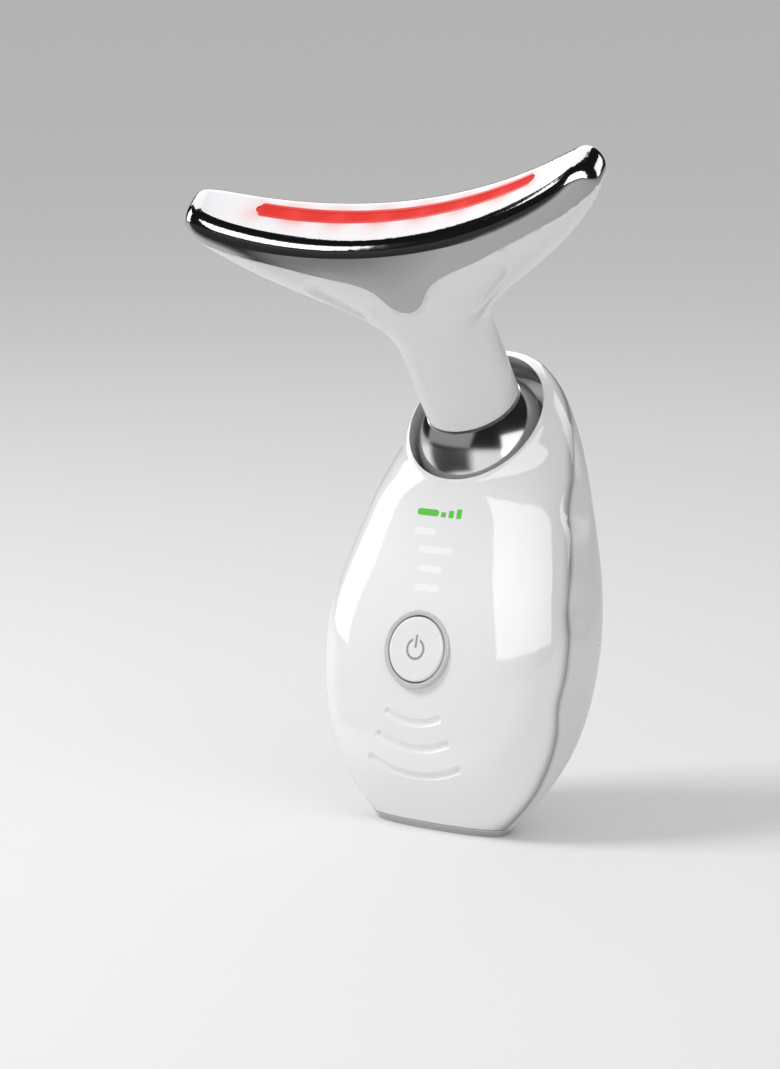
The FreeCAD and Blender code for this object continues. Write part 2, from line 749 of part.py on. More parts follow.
def indicator_places():
    """X and height of the lamps behind the light fields."""
    return [(x, z) for z, width, x in MODE_ROWS] + [(x, LEVEL_Z) for x in LEVEL_LAMP_XS]


def make_board_parts():
    """Control board with what sits on it, and the battery behind it."""
    back = BOARD_FRONT + BOARD_THICKNESS
    board = block(-BOARD_HALF_WIDTH, BOARD_HALF_WIDTH, BOARD_FRONT, back, BOARD_LOW, BOARD_HIGH)
    corners = [e for e in board.Edges if abs(e.tangentAt(e.FirstParameter).y) > 0.9]
    board = board.makeFillet(BOARD_CORNER, corners)
    for x, z in boss_places():
        board = board.cut(rod(SCREW_RADIUS, V(x, -BIG, z), V(x, BIG, z)))
    screws = solids([board_screw(x, z) for x, z in boss_places()])
    chip = on_board((CHIP_SIZE, CHIP_HEIGHT, CHIP_SIZE), 0, CHIP_Z)
    coil = rod(COIL_RADIUS, V(COIL_X, BOARD_FRONT - COIL_HEIGHT, COIL_Z), V(COIL_X, BOARD_FRONT, COIL_Z))
    capacitors = solids([on_board(CAPACITOR_SIZE, x, CAPACITOR_Z) for x in CAPACITOR_XS])
    lamps = solids([on_board(INDICATOR_SIZE, x, z) for x, z in indicator_places()])

    low, high = MODE_ROWS[-1][0] - GUIDE_MARGIN, LEVEL_Z + GUIDE_MARGIN
    guide = on_board((2 * GUIDE_HALF_WIDTH, GUIDE_DEPTH, high - low), 0, (low + high) / 2)
    room = [size + INDICATOR_ROOM for size in INDICATOR_SIZE]
    for x, z in indicator_places():
        guide = guide.cut(on_board(room, x, z))

    cell_front = back + PAD_THICKNESS
    cell_back = cell_front + BATTERY_DEPTH
    pad = block(
        -PAD_HALF_WIDTH, PAD_HALF_WIDTH, back, cell_front, BATTERY_LOW + PAD_INSET, BATTERY_HIGH - PAD_INSET)
    battery = block(
        -BATTERY_HALF_WIDTH, BATTERY_HALF_WIDTH, cell_front, cell_back, BATTERY_LOW, BATTERY_HIGH)
    upright = [e for e in battery.Edges if abs(e.tangentAt(e.FirstParameter).z) > 0.9]
    battery = battery.makeFillet(BATTERY_CORNER, upright)
    middle = (cell_front + cell_back) / 2
    leads = [
        strand(LEAD_RADIUS, [
            V(x, middle, BATTERY_HIGH - LEAD_RADIUS), V(x, middle - 1.0, BATTERY_HIGH + 4.0),
            V(x, back + 1.2, BATTERY_HIGH + 6.5), V(x, back - LEAD_RADIUS, BATTERY_HIGH + 6.9),
        ])
        for x in LEAD_XS
    ]
    leads = solids([biggest(lead.cut(board).cut(battery)) for lead in leads])
    return {
        "control_board": board, "board_screws": screws, "control_chip": chip, "power_inductor": coil,
        "board_capacitors": capacitors, "indicator_lamps": lamps, "light_guide": guide,
        "battery_pad": pad, "battery_cell": battery, "battery_leads": leads,
    }


def rounded_slot(width, height, z0, z1):
    """An upright bar of rounded-end section about the foot's middle."""
    radius = height / 2
    ends = [
        rod(radius, V(side * (width / 2 - radius), 0, z0), V(side * (width / 2 - radius), 0, z1))
        for side in (-1, 1)
    ]
    return fuse_all([block(-width / 2 + radius, width / 2 - radius, -radius, radius, z0, z1)] + ends)


def make_charging_parts():
    """Charging socket in the foot and its small board, upright on the floor."""
    low, high = SOCKET_INSET, SOCKET_INSET + SOCKET_LENGTH
    case = rounded_slot(SOCKET_WIDTH, SOCKET_HEIGHT, low, high)
    hollow = rounded_slot(
        SOCKET_WIDTH - 2 * SOCKET_WALL, SOCKET_HEIGHT - 2 * SOCKET_WALL, low, high - SOCKET_BACK)
    tongue = block(
        -TONGUE_HALF_WIDTH, TONGUE_HALF_WIDTH, -TONGUE_HALF_THICKNESS, TONGUE_HALF_THICKNESS,
        low + TONGUE_INSET, high - SOCKET_BACK / 2)
    socket = fuse_all([case.cut(hollow), tongue])
    face = SOCKET_HEIGHT / 2
    board = block(
        -CHARGE_BOARD_HALF_WIDTH, CHARGE_BOARD_HALF_WIDTH, face, face + CHARGE_BOARD_THICKNESS,
        FOOT_WALL, FOOT_WALL + CHARGE_BOARD_HEIGHT)
    mouth = rounded_slot(SOCKET_WIDTH + 2 * SOCKET_EASE, SOCKET_HEIGHT + 2 * SOCKET_EASE, -BIG, FOOT_WALL)
    return socket, board, mouth


# Ball joint

def make_cup():
    """Cup behind the ball, with the flange on the collar and the post that carries the pivot pin."""
    inner = BALL_RADIUS + CUP_GAP
    hollow = Part.makeSphere(inner)
    low = -COLLAR_DEPTH - CUP_WALL
    bowl = Part.makeSphere(inner + CUP_WALL).cut(block(-BIG, BIG, -BIG, BIG, -COLLAR_DEPTH, BIG))
    flange = rod(RIM_RADIUS + COLLAR_WALL, V(0, RIM_RAISE, low), V(0, RIM_RAISE, -COLLAR_DEPTH))
    handle_inside = moved(body_skin(SHELL_WALL + SEAM_GAP), CUP_FRAME.inverse())
    dish = bowl.fuse(flange).common(handle_inside).cut(hollow)
    stem = rod(POST_RADIUS * 0.8, V(0, 0, -inner - CUP_WALL / 2), V(0, 0, 0))
    stem = stem.common(block(-POST_HALF_WIDTH, POST_HALF_WIDTH, -BIG, BIG, -BIG, BIG))
    eye = rod(POST_RADIUS, V(-POST_HALF_WIDTH, 0, 0), V(POST_HALF_WIDTH, 0, 0))
    cup = fuse_all([dish, stem, eye])
    bore = rod(PIN_RADIUS + PIN_CLEARANCE, V(-BIG, 0, 0), V(BIG, 0, 0))
    cup = moved(cup.cut(bore), CUP_FRAME)
    for place in cup_screw_places():
        cup = cup.cut(cup_screw_shank(place))
    wire_exit = moved(rod(WIRE_EXIT_RADIUS, V(0, WIRE_EXIT, -BIG), V(0, WIRE_EXIT, 0)), CUP_FRAME)
    outside_ball = Part.makeSphere(BALL_RADIUS + CUP_GAP / 2, BALL_CENTRE)
    return biggest(cup.cut(wire_exit.cut(outside_ball)))


def make_ball_parts():
    """Chrome ball with its stud, the pivot pin, friction washers and retaining clip."""
    inner = BALL_RADIUS - BALL_WALL
    flat = block(-BIG, BIG, -BIG, BIG, BALL_TOP, BIG)
    ball = Part.makeSphere(BALL_RADIUS).cut(flat)
    core = Part.makeSphere(inner).cut(block(-BIG, BIG, -BIG, BIG, BALL_TOP - BALL_WALL, BIG))
    shell = ball.cut(core)
    hub_start = POST_HALF_WIDTH + HUB_GAP
    hubs = [
        rod(POST_RADIUS, V(side * hub_start, 0, 0), V(side * inner, 0, 0)).common(ball) for side in (-1, 1)
    ]
    stud = rod(STUD_RADIUS, V(0, 0, BALL_TOP - BALL_WALL), V(0, 0, STUD_TOP))
    clip_low = NECK_RISE + NECK_BOTTOM + NECK_FLOOR + CLIP_PLAY
    clip_high = clip_low + CLIP_THICKNESS
    ball = fuse_all([shell, stud] + hubs)
    ball = ball.cut(tube(STUD_RADIUS - CLIP_GROOVE, STUD_RADIUS + 1.0, clip_low, clip_high))
    ball = ball.cut(rod(STUD_BORE, V(0, 0, BALL_TOP - 2 * BALL_WALL), V(0, 0, BIG)))
    pin_half = inner - 0.2
    pin = rod(PIN_RADIUS, V(-pin_half, 0, 0), V(pin_half, 0, 0))
    ball = ball.cut(pin)
    behind = RIM_ANGLE - HEAD_TILT
    ease = math.degrees(math.asin(POST_RADIUS / inner)) + SLOT_EASE
    first = math.radians(behind - TILT_FORWARD - ease)
    last = math.radians(behind + TILT_BACK + ease)
    steps = 6
    fan = [V(-hub_start, 0, 0)]
    for index in range(steps + 1):
        angle = first + (last - first) * index / steps
        fan.append(V(-hub_start, -math.sin(angle) * -BALL_RADIUS * 1.5, -math.cos(angle) * BALL_RADIUS * 1.5))
    ball = ball.cut(extruded(fan, V(2 * hub_start, 0, 0)))
    edge = [
        e for e in ball.Edges
        if abs(e.BoundBox.ZMin - BALL_TOP) < 0.01 and abs(e.BoundBox.ZMax - BALL_TOP) < 0.01
        and e.BoundBox.XLength > 2 * STUD_RADIUS + 1.0
    ]
    ball = ball.makeFillet(BALL_EDGE, edge)
    washer_start = POST_HALF_WIDTH + WASHER_PLAY
    washers = solids([
        rod(POST_RADIUS - WASHER_PLAY, V(side * hub_start, 0, 0), V(side * washer_start, 0, 0)).cut(pin)
        for side in (-1, 1)
    ])
    clip = tube(STUD_RADIUS - CLIP_GROOVE, CLIP_RADIUS, clip_low, clip_high)
    clip = clip.cut(block(-CLIP_MOUTH, CLIP_MOUTH, 0, BIG, -BIG, BIG))
    parts = {
        "joint_ball": biggest(ball), "pivot_pin": pin, "friction_washers": washers,
        "retaining_clip": clip,
    }
    return {name: moved(shape, BALL_FRAME) for name, shape in parts.items()}


# Head

def lens_bar(width, half_length, depth, thickness):
    """A bar with rounded ends that follows the hollow top line."""
    y0, y1 = STRIP_Y - width / 2, STRIP_Y + width / 2
    bar = sag_strip(depth, thickness, half_length, y0, y1)
    upright = [
        e for e in bar.Edges
        if abs(abs(e.CenterOfMass.x) - half_length) < 0.5 and e.BoundBox.YLength < 0.1
    ]
    return bar.makeFillet(width / 2 - 0.05, upright)


def make_head_parts():
    """Head shell, massage plate and everything inside them."""
    outside = head_skin(0.0).cut(above_sag(0.0))
    top_edges = [
        e for e in outside.Edges
        if e.BoundBox.ZMin > BAR_TOP - 1.0 and e.BoundBox.XLength > BAR_HALF_LENGTH * 0.5
    ]
    rounded = outside.makeFillet(BAR_EDGE, top_edges)
    inside = head_skin(HEAD_WALL).cut(above_sag(HEAD_WALL))
    inside = inside.cut(block(-BIG, BIG, -BIG, BIG, -BIG, NECK_BOTTOM + NECK_FLOOR))
    wall = rounded.cut(inside)
    over = border_region(PLATE_BORDER, -BIG, 0, TONGUE_SHIFT)
    over = over.fuse(border_region(PLATE_BORDER_BACK, 0, BIG, 0.0))
    plate = wall.common(over)
    shell = wall.cut(over)
    lip = inside.cut(head_skin(HEAD_WALL + LIP_WALL))
    rise = FreeCAD.Placement(V(0, 0, LIP_REACH), FreeCAD.Rotation())
    drop = FreeCAD.Placement(V(0, 0, -LIP_REACH), FreeCAD.Rotation())
    lip = lip.common(moved(over, drop)).cut(moved(over, rise)).cut(above_sag(HEAD_WALL + LENS_DEPTH + 1.5))

    board_low = LAMP_BOARD_DEPTH + LAMP_BOARD_THICKNESS
    post_top = BAR_TOP - board_low + LAMP_POST_X ** 2 / (2 * BAR_SAG_RADIUS)
    half_inside = head_skin(HEAD_WALL / 2)
    posts = [
        rod(LAMP_POST_RADIUS, V(side * LAMP_POST_X, STRIP_Y, LAMP_POST_FOOT),
            V(side * LAMP_POST_X, STRIP_Y, post_top + LAMP_SCREW_LENGTH))
        .common(half_inside).cut(above_sag(board_low))
        for side in (-1, 1)
    ]
    shell = fuse_all([shell, lip] + posts)
    shell = shell.cut(rod(STUD_RADIUS + STUD_CLEARANCE, V(0, 0, 0), V(0, 0, NECK_BOTTOM + NECK_FLOOR)))

    slot = lens_bar(STRIP_WIDTH, STRIP_HALF_LENGTH, -2.0, HEAD_WALL + 2.0)
    plate = biggest(plate.cut(slot))
    lens = lens_bar(STRIP_WIDTH, STRIP_HALF_LENGTH, STRIP_RECESS, HEAD_WALL - STRIP_RECESS)
    flange = lens_bar(
        STRIP_WIDTH + 2 * LENS_FLANGE, STRIP_HALF_LENGTH + LENS_FLANGE, HEAD_WALL, LENS_DEPTH - HEAD_WALL)
    lens = fuse_all([lens, flange])

    half = LAMP_BOARD_WIDTH / 2
    lamp_board = sag_strip(
        LAMP_BOARD_DEPTH, LAMP_BOARD_THICKNESS, STRIP_HALF_LENGTH + 1.0, STRIP_Y - half, STRIP_Y + half)
    lamps, screws = [], []
    for index in range(LAMP_COUNT):
        x = (index - (LAMP_COUNT - 1) / 2) * LAMP_SPACING
        size = LAMP_SIZE / 2
        cube = block(-size, size, STRIP_Y - size, STRIP_Y + size, -0.02, LAMP_HEIGHT)
        lamps.append(on_sag(cube, x, LAMP_BOARD_DEPTH).cut(lamp_board))
    for side in (-1, 1):
        shank = rod(SCREW_RADIUS, V(0, STRIP_Y, -LAMP_SCREW_LENGTH), V(0, STRIP_Y, 0.1))
        head = rod(SCREW_HEAD_RADIUS, V(0, STRIP_Y, 0.02), V(0, STRIP_Y, SCREW_HEAD))
        screws.append(on_sag(shank.fuse(head), side * LAMP_POST_X, LAMP_BOARD_DEPTH))
        hole = rod(SCREW_RADIUS, V(0, STRIP_Y, -LAMP_SCREW_LENGTH), V(0, STRIP_Y, 2.0))
        hole = on_sag(hole, side * LAMP_POST_X, LAMP_BOARD_DEPTH)
        lamp_board = lamp_board.cut(hole)
        shell = shell.cut(hole)
    screws = solids([biggest(screw.cut(lamp_board)) for screw in screws])

    film_half = STRIP_WIDTH / 2 + LENS_FLANGE + FILM_GAP
    film_edges = (
        -BAR_FRONT + FILM_FRONT_EDGE, STRIP_Y - film_half, STRIP_Y + film_half, BAR_REAR - FILM_REAR_EDGE,
    )
    film = solids([
        sag_strip(HEAD_WALL, FILM_THICKNESS, STRIP_HALF_LENGTH, y0, y1)
        for y0, y1 in (film_edges[:2], film_edges[2:])
    ])
    long, wide, thick = SENSOR_SIZE
    sensor = block(-long / 2, long / 2, SENSOR_Y - wide / 2, SENSOR_Y + wide / 2, -thick, 0)
    sensor = on_sag(sensor, SENSOR_X, HEAD_WALL + FILM_THICKNESS + SENSOR_GAP)

    can_top = MOTOR_BOTTOM + MOTOR_LENGTH
    can = rod(MOTOR_RADIUS, V(0, 0, MOTOR_BOTTOM), V(0, 0, can_top))
    shaft_hole = V(0, 0, can_top - SHAFT_DEPTH - HOLDER_WALL / 3)
    can = can.cut(rod(SHAFT_RADIUS + SHAFT_CLEARANCE, shaft_hole, V(0, 0, can_top)))
    grip = MOTOR_BOTTOM + HOLDER_START
    holder = fuse_all([
        block(-BIG, BIG, -HOLDER_ARM_HALF, HOLDER_ARM_HALF, grip, grip + HOLDER_ARM_HEIGHT),
        rod(MOTOR_RADIUS + HOLDER_WALL, V(0, 0, grip), V(0, 0, grip + HOLDER_HEIGHT)),
    ])
    holder = biggest(holder.common(inside).cut(rod(MOTOR_RADIUS, V(0, 0, 0), V(0, 0, BIG))))
    weight_low = can_top + WEIGHT_GAP
    weight_high = weight_low + WEIGHT_HEIGHT
    shaft = rod(SHAFT_RADIUS, V(0, 0, can_top - SHAFT_DEPTH), V(0, 0, weight_high + SHAFT_RADIUS / 4))
    weight = rod(WEIGHT_RADIUS, V(0, 0, weight_low), V(0, 0, weight_high))
    weight = weight.cut(block(-BIG, BIG, SHAFT_RADIUS + WEIGHT_GAP, BIG, -BIG, BIG)).cut(shaft)
    wires = solids([
        strand(HEAD_WIRE_RADIUS, [
            V(x, 6.4, NECK_BOTTOM + NECK_FLOOR + 5.0), V(x, 7.0, 22.0), V(x, 6.4, 36.0), V(x, 3.2, 45.0),
            V(x, STRIP_Y + 1.5, BAR_TOP - board_low),
        ])
        for x in (-HEAD_WIRE_X, HEAD_WIRE_X)
    ])
    parts = {
        "head_shell": biggest(shell), "massage_plate": plate, "light_strip_lens": lens,
        "lamp_board": lamp_board, "red_lamps": solids(lamps), "lamp_board_screws": screws,
        "heater_film": film, "heat_sensor": sensor,
        "motor_can": can, "motor_holder": holder, "motor_shaft": shaft, "eccentric_weight": weight,
        "head_wires": wires,
    }
    return {name: moved(shape, HEAD_FRAME) for name, shape in parts.items()}


# Assembly

def handle_wires(board):
    """Wires from the control board to the cup behind the ball."""
    back = BOARD_FRONT + BOARD_THICKNESS
    wall_middle = BALL_RADIUS + CUP_GAP + CUP_WALL / 2
    end = CUP_FRAME.multVec(V(0, WIRE_EXIT, -math.sqrt(wall_middle ** 2 - WIRE_EXIT ** 2)))
    wires = strand(WIRE_RADIUS, [
        V(0, back - WIRE_RADIUS, BOARD_HIGH - 5.0), V(0, back + 4.0, BOARD_HIGH - 2.6),
        V(0, end.y - 1.6, end.z - 3.6), end,
    ])
    return biggest(wires.cut(board))


def main():
    """Builds every piece and writes one file each."""
    front, rear, level, mode = make_shells()
    ring, cap, mark, switch, plunger = make_button_parts()
    handle = {
        "front_shell": front, "rear_shell": rear, "level_lights": level, "mode_lights": mode,
        "button_ring": ring, "power_button": cap, "power_mark": mark, "switch_body": switch,
        "switch_plunger": plunger, "ball_cup": make_cup(),
        "cup_screws": solids([cup_screw(place) for place in cup_screw_places()]),
    }
    handle.update(make_board_parts())
    handle["handle_wires"] = handle_wires(handle["control_board"])
    handle.update(make_ball_parts())
    handle.update(make_head_parts())
    parts = {name: moved(shape, LEAN) for name, shape in handle.items()}
    socket, charge_board, mouth = make_charging_parts()
    parts["rear_shell"] = biggest(parts["rear_shell"].cut(mouth))
    parts["charging_socket"] = socket
    parts["charging_board"] = charge_board
    os.makedirs("parts", exist_ok=True)
    for name, shape in parts.items():
        shape.exportStep("parts/" + name + ".step")


main()
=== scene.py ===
"""Looks of a face and neck massager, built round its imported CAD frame.

Most solids keep their shapes and get their finish here. Three are drawn again: the ball as a larger
cover, its cup with room for that cover, and the head's shell with two hollows. The script also adds the
charging socket's contacts, the studio and the camera. Lengths are in metres, in the CAD frame, unless a
name says mm.
"""

import json
import logging
import math
from dataclasses import dataclass, field
from enum import Enum
from typing import Any, Dict, List, Optional, Sequence, Tuple, Union

import bmesh
import bpy
from mathutils import Matrix, Vector

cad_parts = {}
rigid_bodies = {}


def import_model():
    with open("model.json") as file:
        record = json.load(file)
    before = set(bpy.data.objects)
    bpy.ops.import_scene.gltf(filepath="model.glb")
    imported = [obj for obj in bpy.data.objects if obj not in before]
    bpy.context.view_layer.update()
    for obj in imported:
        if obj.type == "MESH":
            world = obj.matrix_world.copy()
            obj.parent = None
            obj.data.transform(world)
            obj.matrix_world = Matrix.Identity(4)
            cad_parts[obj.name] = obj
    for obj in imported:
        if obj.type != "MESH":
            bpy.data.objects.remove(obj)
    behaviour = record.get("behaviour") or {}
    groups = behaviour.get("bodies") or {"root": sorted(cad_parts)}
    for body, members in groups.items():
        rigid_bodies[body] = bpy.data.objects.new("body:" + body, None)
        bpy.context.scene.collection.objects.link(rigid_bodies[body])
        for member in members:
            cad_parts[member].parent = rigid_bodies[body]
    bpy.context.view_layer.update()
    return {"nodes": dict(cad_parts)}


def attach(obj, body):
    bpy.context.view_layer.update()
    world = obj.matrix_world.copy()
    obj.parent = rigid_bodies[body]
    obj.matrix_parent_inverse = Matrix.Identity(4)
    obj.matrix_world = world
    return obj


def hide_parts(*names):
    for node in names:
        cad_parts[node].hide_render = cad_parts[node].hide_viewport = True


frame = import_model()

LOG = logging.getLogger("massager")

Colour = Tuple[float, float, float]
Triple = Tuple[float, float, float]

MM = 0.001
WHOLE_TURN = 2 * math.pi
SHARP_EDGE = math.radians(35.0)
BODY_LEAN = math.radians(14.0)
HEAD_TILT = math.radians(46.0)
HEAD_SWIVEL = math.radians(14.5)
NECK_IN_BODY = Vector((0.0, -0.0080, 0.0882))
RIM_TURN = math.radians(64.0)
RIM_IN_BODY = Vector((0.0, -0.005946, 0.087195))


class Space(Enum):
    """The frames that patterns are drawn in, all in millimetres."""

    ROW = "row"
    BODY = "body"
    HEAD = "head"
    RIM = "rim"

    def matrix(self) -> Matrix:
        """The frame's place in the CAD frame."""
        lean = Matrix.Rotation(-BODY_LEAN, 4, "X")
        if self is Space.ROW:
            return Matrix.Identity(4)
        if self is Space.BODY:
            return lean
        if self is Space.RIM:
            return lean @ Matrix.Translation(RIM_IN_BODY) @ Matrix.Rotation(RIM_TURN, 4, "X")
        turn = Matrix.Rotation(HEAD_TILT, 4, "X") @ Matrix.Rotation(HEAD_SWIVEL, 4, "Z")
        return lean @ Matrix.Translation(NECK_IN_BODY) @ turn


Value = Union["Sock", float, int]


class Sock:
    """A value socket, so that shader maths can be written as an expression."""

    def __init__(self, nodes: "NodeSet", socket: bpy.types.NodeSocket) -> None:
        """Wraps a socket of a node set."""
        self.nodes = nodes
        self.socket = socket

    def math(self, operation: str, *values: Value) -> "Sock":
        """Adds a Math node.

        Args:
            operation: The Math node's operation.
            values: Its sockets in order, this one included.

        Returns:
            The node's result.
        """
        node = self.nodes.add("ShaderNodeMath", {"operation": operation}, dict(enumerate(values)))
        return Sock(self.nodes, node.outputs[0])

    def __add__(self, other: Value) -> "Sock":
        """Sum."""
        return self.math("ADD", self, other)

    __radd__ = __add__

    def __sub__(self, other: Value) -> "Sock":
        """Difference."""
        return self.math("SUBTRACT", self, other)

    def __rsub__(self, other: Value) -> "Sock":
        """Difference from a number."""
        return self.math("SUBTRACT", other, self)

    def __mul__(self, other: Value) -> "Sock":
        """Product."""
        return self.math("MULTIPLY", self, other)

    __rmul__ = __mul__

    def __truediv__(self, other: Value) -> "Sock":
        """Quotient."""
        return self.math("DIVIDE", self, other)

    def __pow__(self, other: Value) -> "Sock":
        """Power."""
        return self.math("POWER", self, other)

    def __abs__(self) -> "Sock":
        """Size without sign."""
        return self.math("ABSOLUTE", self)

    def cos(self) -> "Sock":
        """Cosine of an angle in radians."""
        return self.math("COSINE", self)

    def root(self) -> "Sock":
        """Square root."""
        return self.math("SQRT", self)

    def exp(self) -> "Sock":
        """Power of e."""
        return self.math("EXPONENT", self)

    def least(self, other: Value) -> "Sock":
        """The smaller of two."""
        return self.math("MINIMUM", self, other)

    def most(self, other: Value) -> "Sock":
        """The larger of two."""
        return self.math("MAXIMUM", self, other)

    def step(self, low: float, high: float) -> "Sock":
        """A smooth rise from 0 to 1.

        Args:
            low: Where the rise starts.
            high: Where it ends; lower than low for a fall.

        Returns:
            The share, between 0 and 1.
        """
        share = ((self - low) / (high - low)).most(0.0).least(1.0)
        return share * share * (3.0 - 2.0 * share)


Setting = Dict[str, Any]


class NodeSet:
    """The node tree of one material or of the world."""

    def __init__(self, tree: bpy.types.NodeTree) -> None:
        """Empties a tree and takes it over."""
        self.tree = tree
        tree.nodes.clear()

    def add(self, kind: str, settings: Optional[Setting] = None,
            inputs: Optional[Dict[Union[str, int], Any]] = None) -> bpy.types.Node:
        """Adds any node.

        Args:
            kind: The node's type.
            settings: Attributes to set first.
            inputs: Values or links by socket name or number.

        Returns:
            The node.
        """
        node = self.tree.nodes.new(kind)
        for name, value in (settings or {}).items():
            setattr(node, name, value)
        for key, value in (inputs or {}).items():
            socket = node.inputs[key]
            if isinstance(value, Sock):
                self.tree.links.new(value.socket, socket)
            elif isinstance(value, bpy.types.NodeSocket):
                self.tree.links.new(value, socket)
            elif socket.type == "RGBA":
                socket.default_value = (*value[:3], 1.0)
            else:
                socket.default_value = value
        return node

    def place(self, space: Space) -> bpy.types.NodeSocket:
        """The surface point in a frame, in millimetres."""
        matrix = space.matrix()
        coordinate = self.add("ShaderNodeTexCoord").outputs["Object"]
        mapping = self.add("ShaderNodeMapping", {"vector_type": "TEXTURE"}, {
            "Vector": coordinate, "Location": matrix.translation, "Rotation": matrix.to_euler("XYZ"),
            "Scale": (MM, MM, MM),
        })
        return mapping.outputs["Vector"]

    def axes(self, point: bpy.types.NodeSocket) -> Tuple[Sock, Sock, Sock]:
        """X, Y and Z of a point."""
        split = self.add("ShaderNodeSeparateXYZ", inputs={"Vector": point})
        return tuple(Sock(self, split.outputs[name]) for name in "XYZ")

    def noise(self, point: bpy.types.NodeSocket, size_mm: float, detail: float = 2.0,
              rough: float = 0.5) -> Sock:
        """Soft noise.

        Args:
            point: Where to read it, in millimetres.
            size_mm: Size of its blobs.
            detail: Octaves of finer noise.
            rough: Strength of the finer octaves.

        Returns:
            A value about 0.5.
        """
        node = self.add("ShaderNodeTexNoise", inputs={
            "Vector": point, "Scale": 1.0 / size_mm, "Detail": detail, "Roughness": rough,
        })
        return Sock(self, node.outputs["Fac"])

    def cells(self, point: bpy.types.NodeSocket, size_mm: float) -> Sock:
        """Distance to the nearest of scattered points, for pits and grains."""
        inputs = {"Vector": point, "Scale": 1.0 / size_mm}
        node = self.add("ShaderNodeTexVoronoi", {"feature": "F1"}, inputs)
        return Sock(self, node.outputs["Distance"])

    def stretched(self, point: bpy.types.NodeSocket, scale: Triple) -> bpy.types.NodeSocket:
        """A point with its axes stretched, for grain that runs one way."""
        node = self.add("ShaderNodeVectorMath", {"operation": "MULTIPLY"}, {0: point, 1: scale})
        return node.outputs[0]

    def mix(self, share: Value, first: Any, second: Any) -> bpy.types.NodeSocket:
        """A colour between two colours.

        Args:
            share: 0 for the first, 1 for the second.
            first: Colour or colour socket.
            second: Colour or colour socket.

        Returns:
            The colour socket.
        """
        node = self.add("ShaderNodeMix", {"data_type": "RGBA"}, {0: share, 6: first, 7: second})
        return node.outputs[2]

    def bump(self, height: Sock, depth_mm: float, strength: float = 1.0) -> bpy.types.NodeSocket:
        """A normal from a height.

        Args:
            height: Height as a share.
            depth_mm: Height of a whole share.
            strength: How much of it shows.

        Returns:
            The normal socket.
        """
        node = self.add("ShaderNodeBump", inputs={
            "Height": height, "Distance": depth_mm * MM, "Strength": strength,
        })
        return node.outputs["Normal"]

    def surface(self, values: Dict[str, Any]) -> None:
        """Ends a material with one Principled surface.

        Args:
            values: Socket values or links by name.
        """
        shader = self.add("ShaderNodeBsdfPrincipled", inputs=values)
        self.add("ShaderNodeOutputMaterial", inputs={"Surface": shader.outputs[0]})


@dataclass(frozen=True)
class Finish:
    """A finish of a piece; each kind draws its own nodes."""

    name: str
    colour: Colour
    space: Space = Space.ROW

    def draw(self, nodes: NodeSet) -> None:
        """Draws the finish into an empty node set."""
        raise NotImplementedError

    def material(self) -> bpy.types.Material:
        """The finish as a material, made once."""
        found = bpy.data.materials.get(self.name)
        if found is None:
            found = bpy.data.materials.new(self.name)
            found.use_nodes = True
            self.draw(NodeSet(found.node_tree))
        return found

    def shaded(self, amount: float) -> Colour:
        """The colour made darker or lighter by a share."""
        return tuple(min(1.0, part * amount) for part in self.colour)


@dataclass(frozen=True)
class SeamLine:
    """The seam between the shells, seen from the side, with painted shade beside it and painted shade at
    the foot of the handle.
    """

    points_mm: Tuple[Tuple[float, float], ...] = (
        (-2.9, 10.0), (-4.6, 19.0), (-7.0, 30.0), (-8.0, 43.0), (-7.5, 55.0), (-5.8, 67.0), (-3.2, 79.0),
        (-1.2, 89.0), (0.2, 98.0), (1.2, 110.0),
    )
    # Painted shade beside the seam (width and strength), painted shade near the floor at the foot (heights
    # and strength), and the colour it darkens to.
    width_mm: float = 1.7
    shade: float = 0.60
    foot_mm: Tuple[float, float] = (2.4, 1.0)
    painted_foot_shade: float = 0.45
    dark: Colour = (0.05, 0.05, 0.055)

    def painted_shade(self, nodes: NodeSet, point: bpy.types.NodeSocket) -> Sock:
        """How much painted shade lies at a point of the handle, beside the seam and at its foot.

        Args:
            nodes: The node set to draw in.
            point: The point in the handle's frame, in millimetres.

        Returns:
            The share of the colour to take away.
        """
        _, y, z = nodes.axes(point)
        seam: Value = self.points_mm[0][0]
        for (low_y, low_z), (high_y, high_z) in zip(self.points_mm, self.points_mm[1:]):
            slope = (high_y - low_y) / (high_z - low_z)
            seam = seam + (z - low_z).most(0.0).least(high_z - low_z) * slope
        # Painted shade: strongest at the seam and fading away from it, and darker near the floor at the
        # foot.
        away = (y - seam) / self.width_mm
        _, _, height = nodes.axes(nodes.place(Space.ROW))
        foot = height.step(*self.foot_mm) * self.painted_foot_shade
        return ((0.0 - away * away).exp() * self.shade).most(foot)

    def over(self, nodes: NodeSet, point: bpy.types.NodeSocket, colour: Any) -> bpy.types.NodeSocket:
        """A colour with the painted shade of the seam and the foot over it."""
        return nodes.mix(self.painted_shade(nodes, point), colour, self.dark)


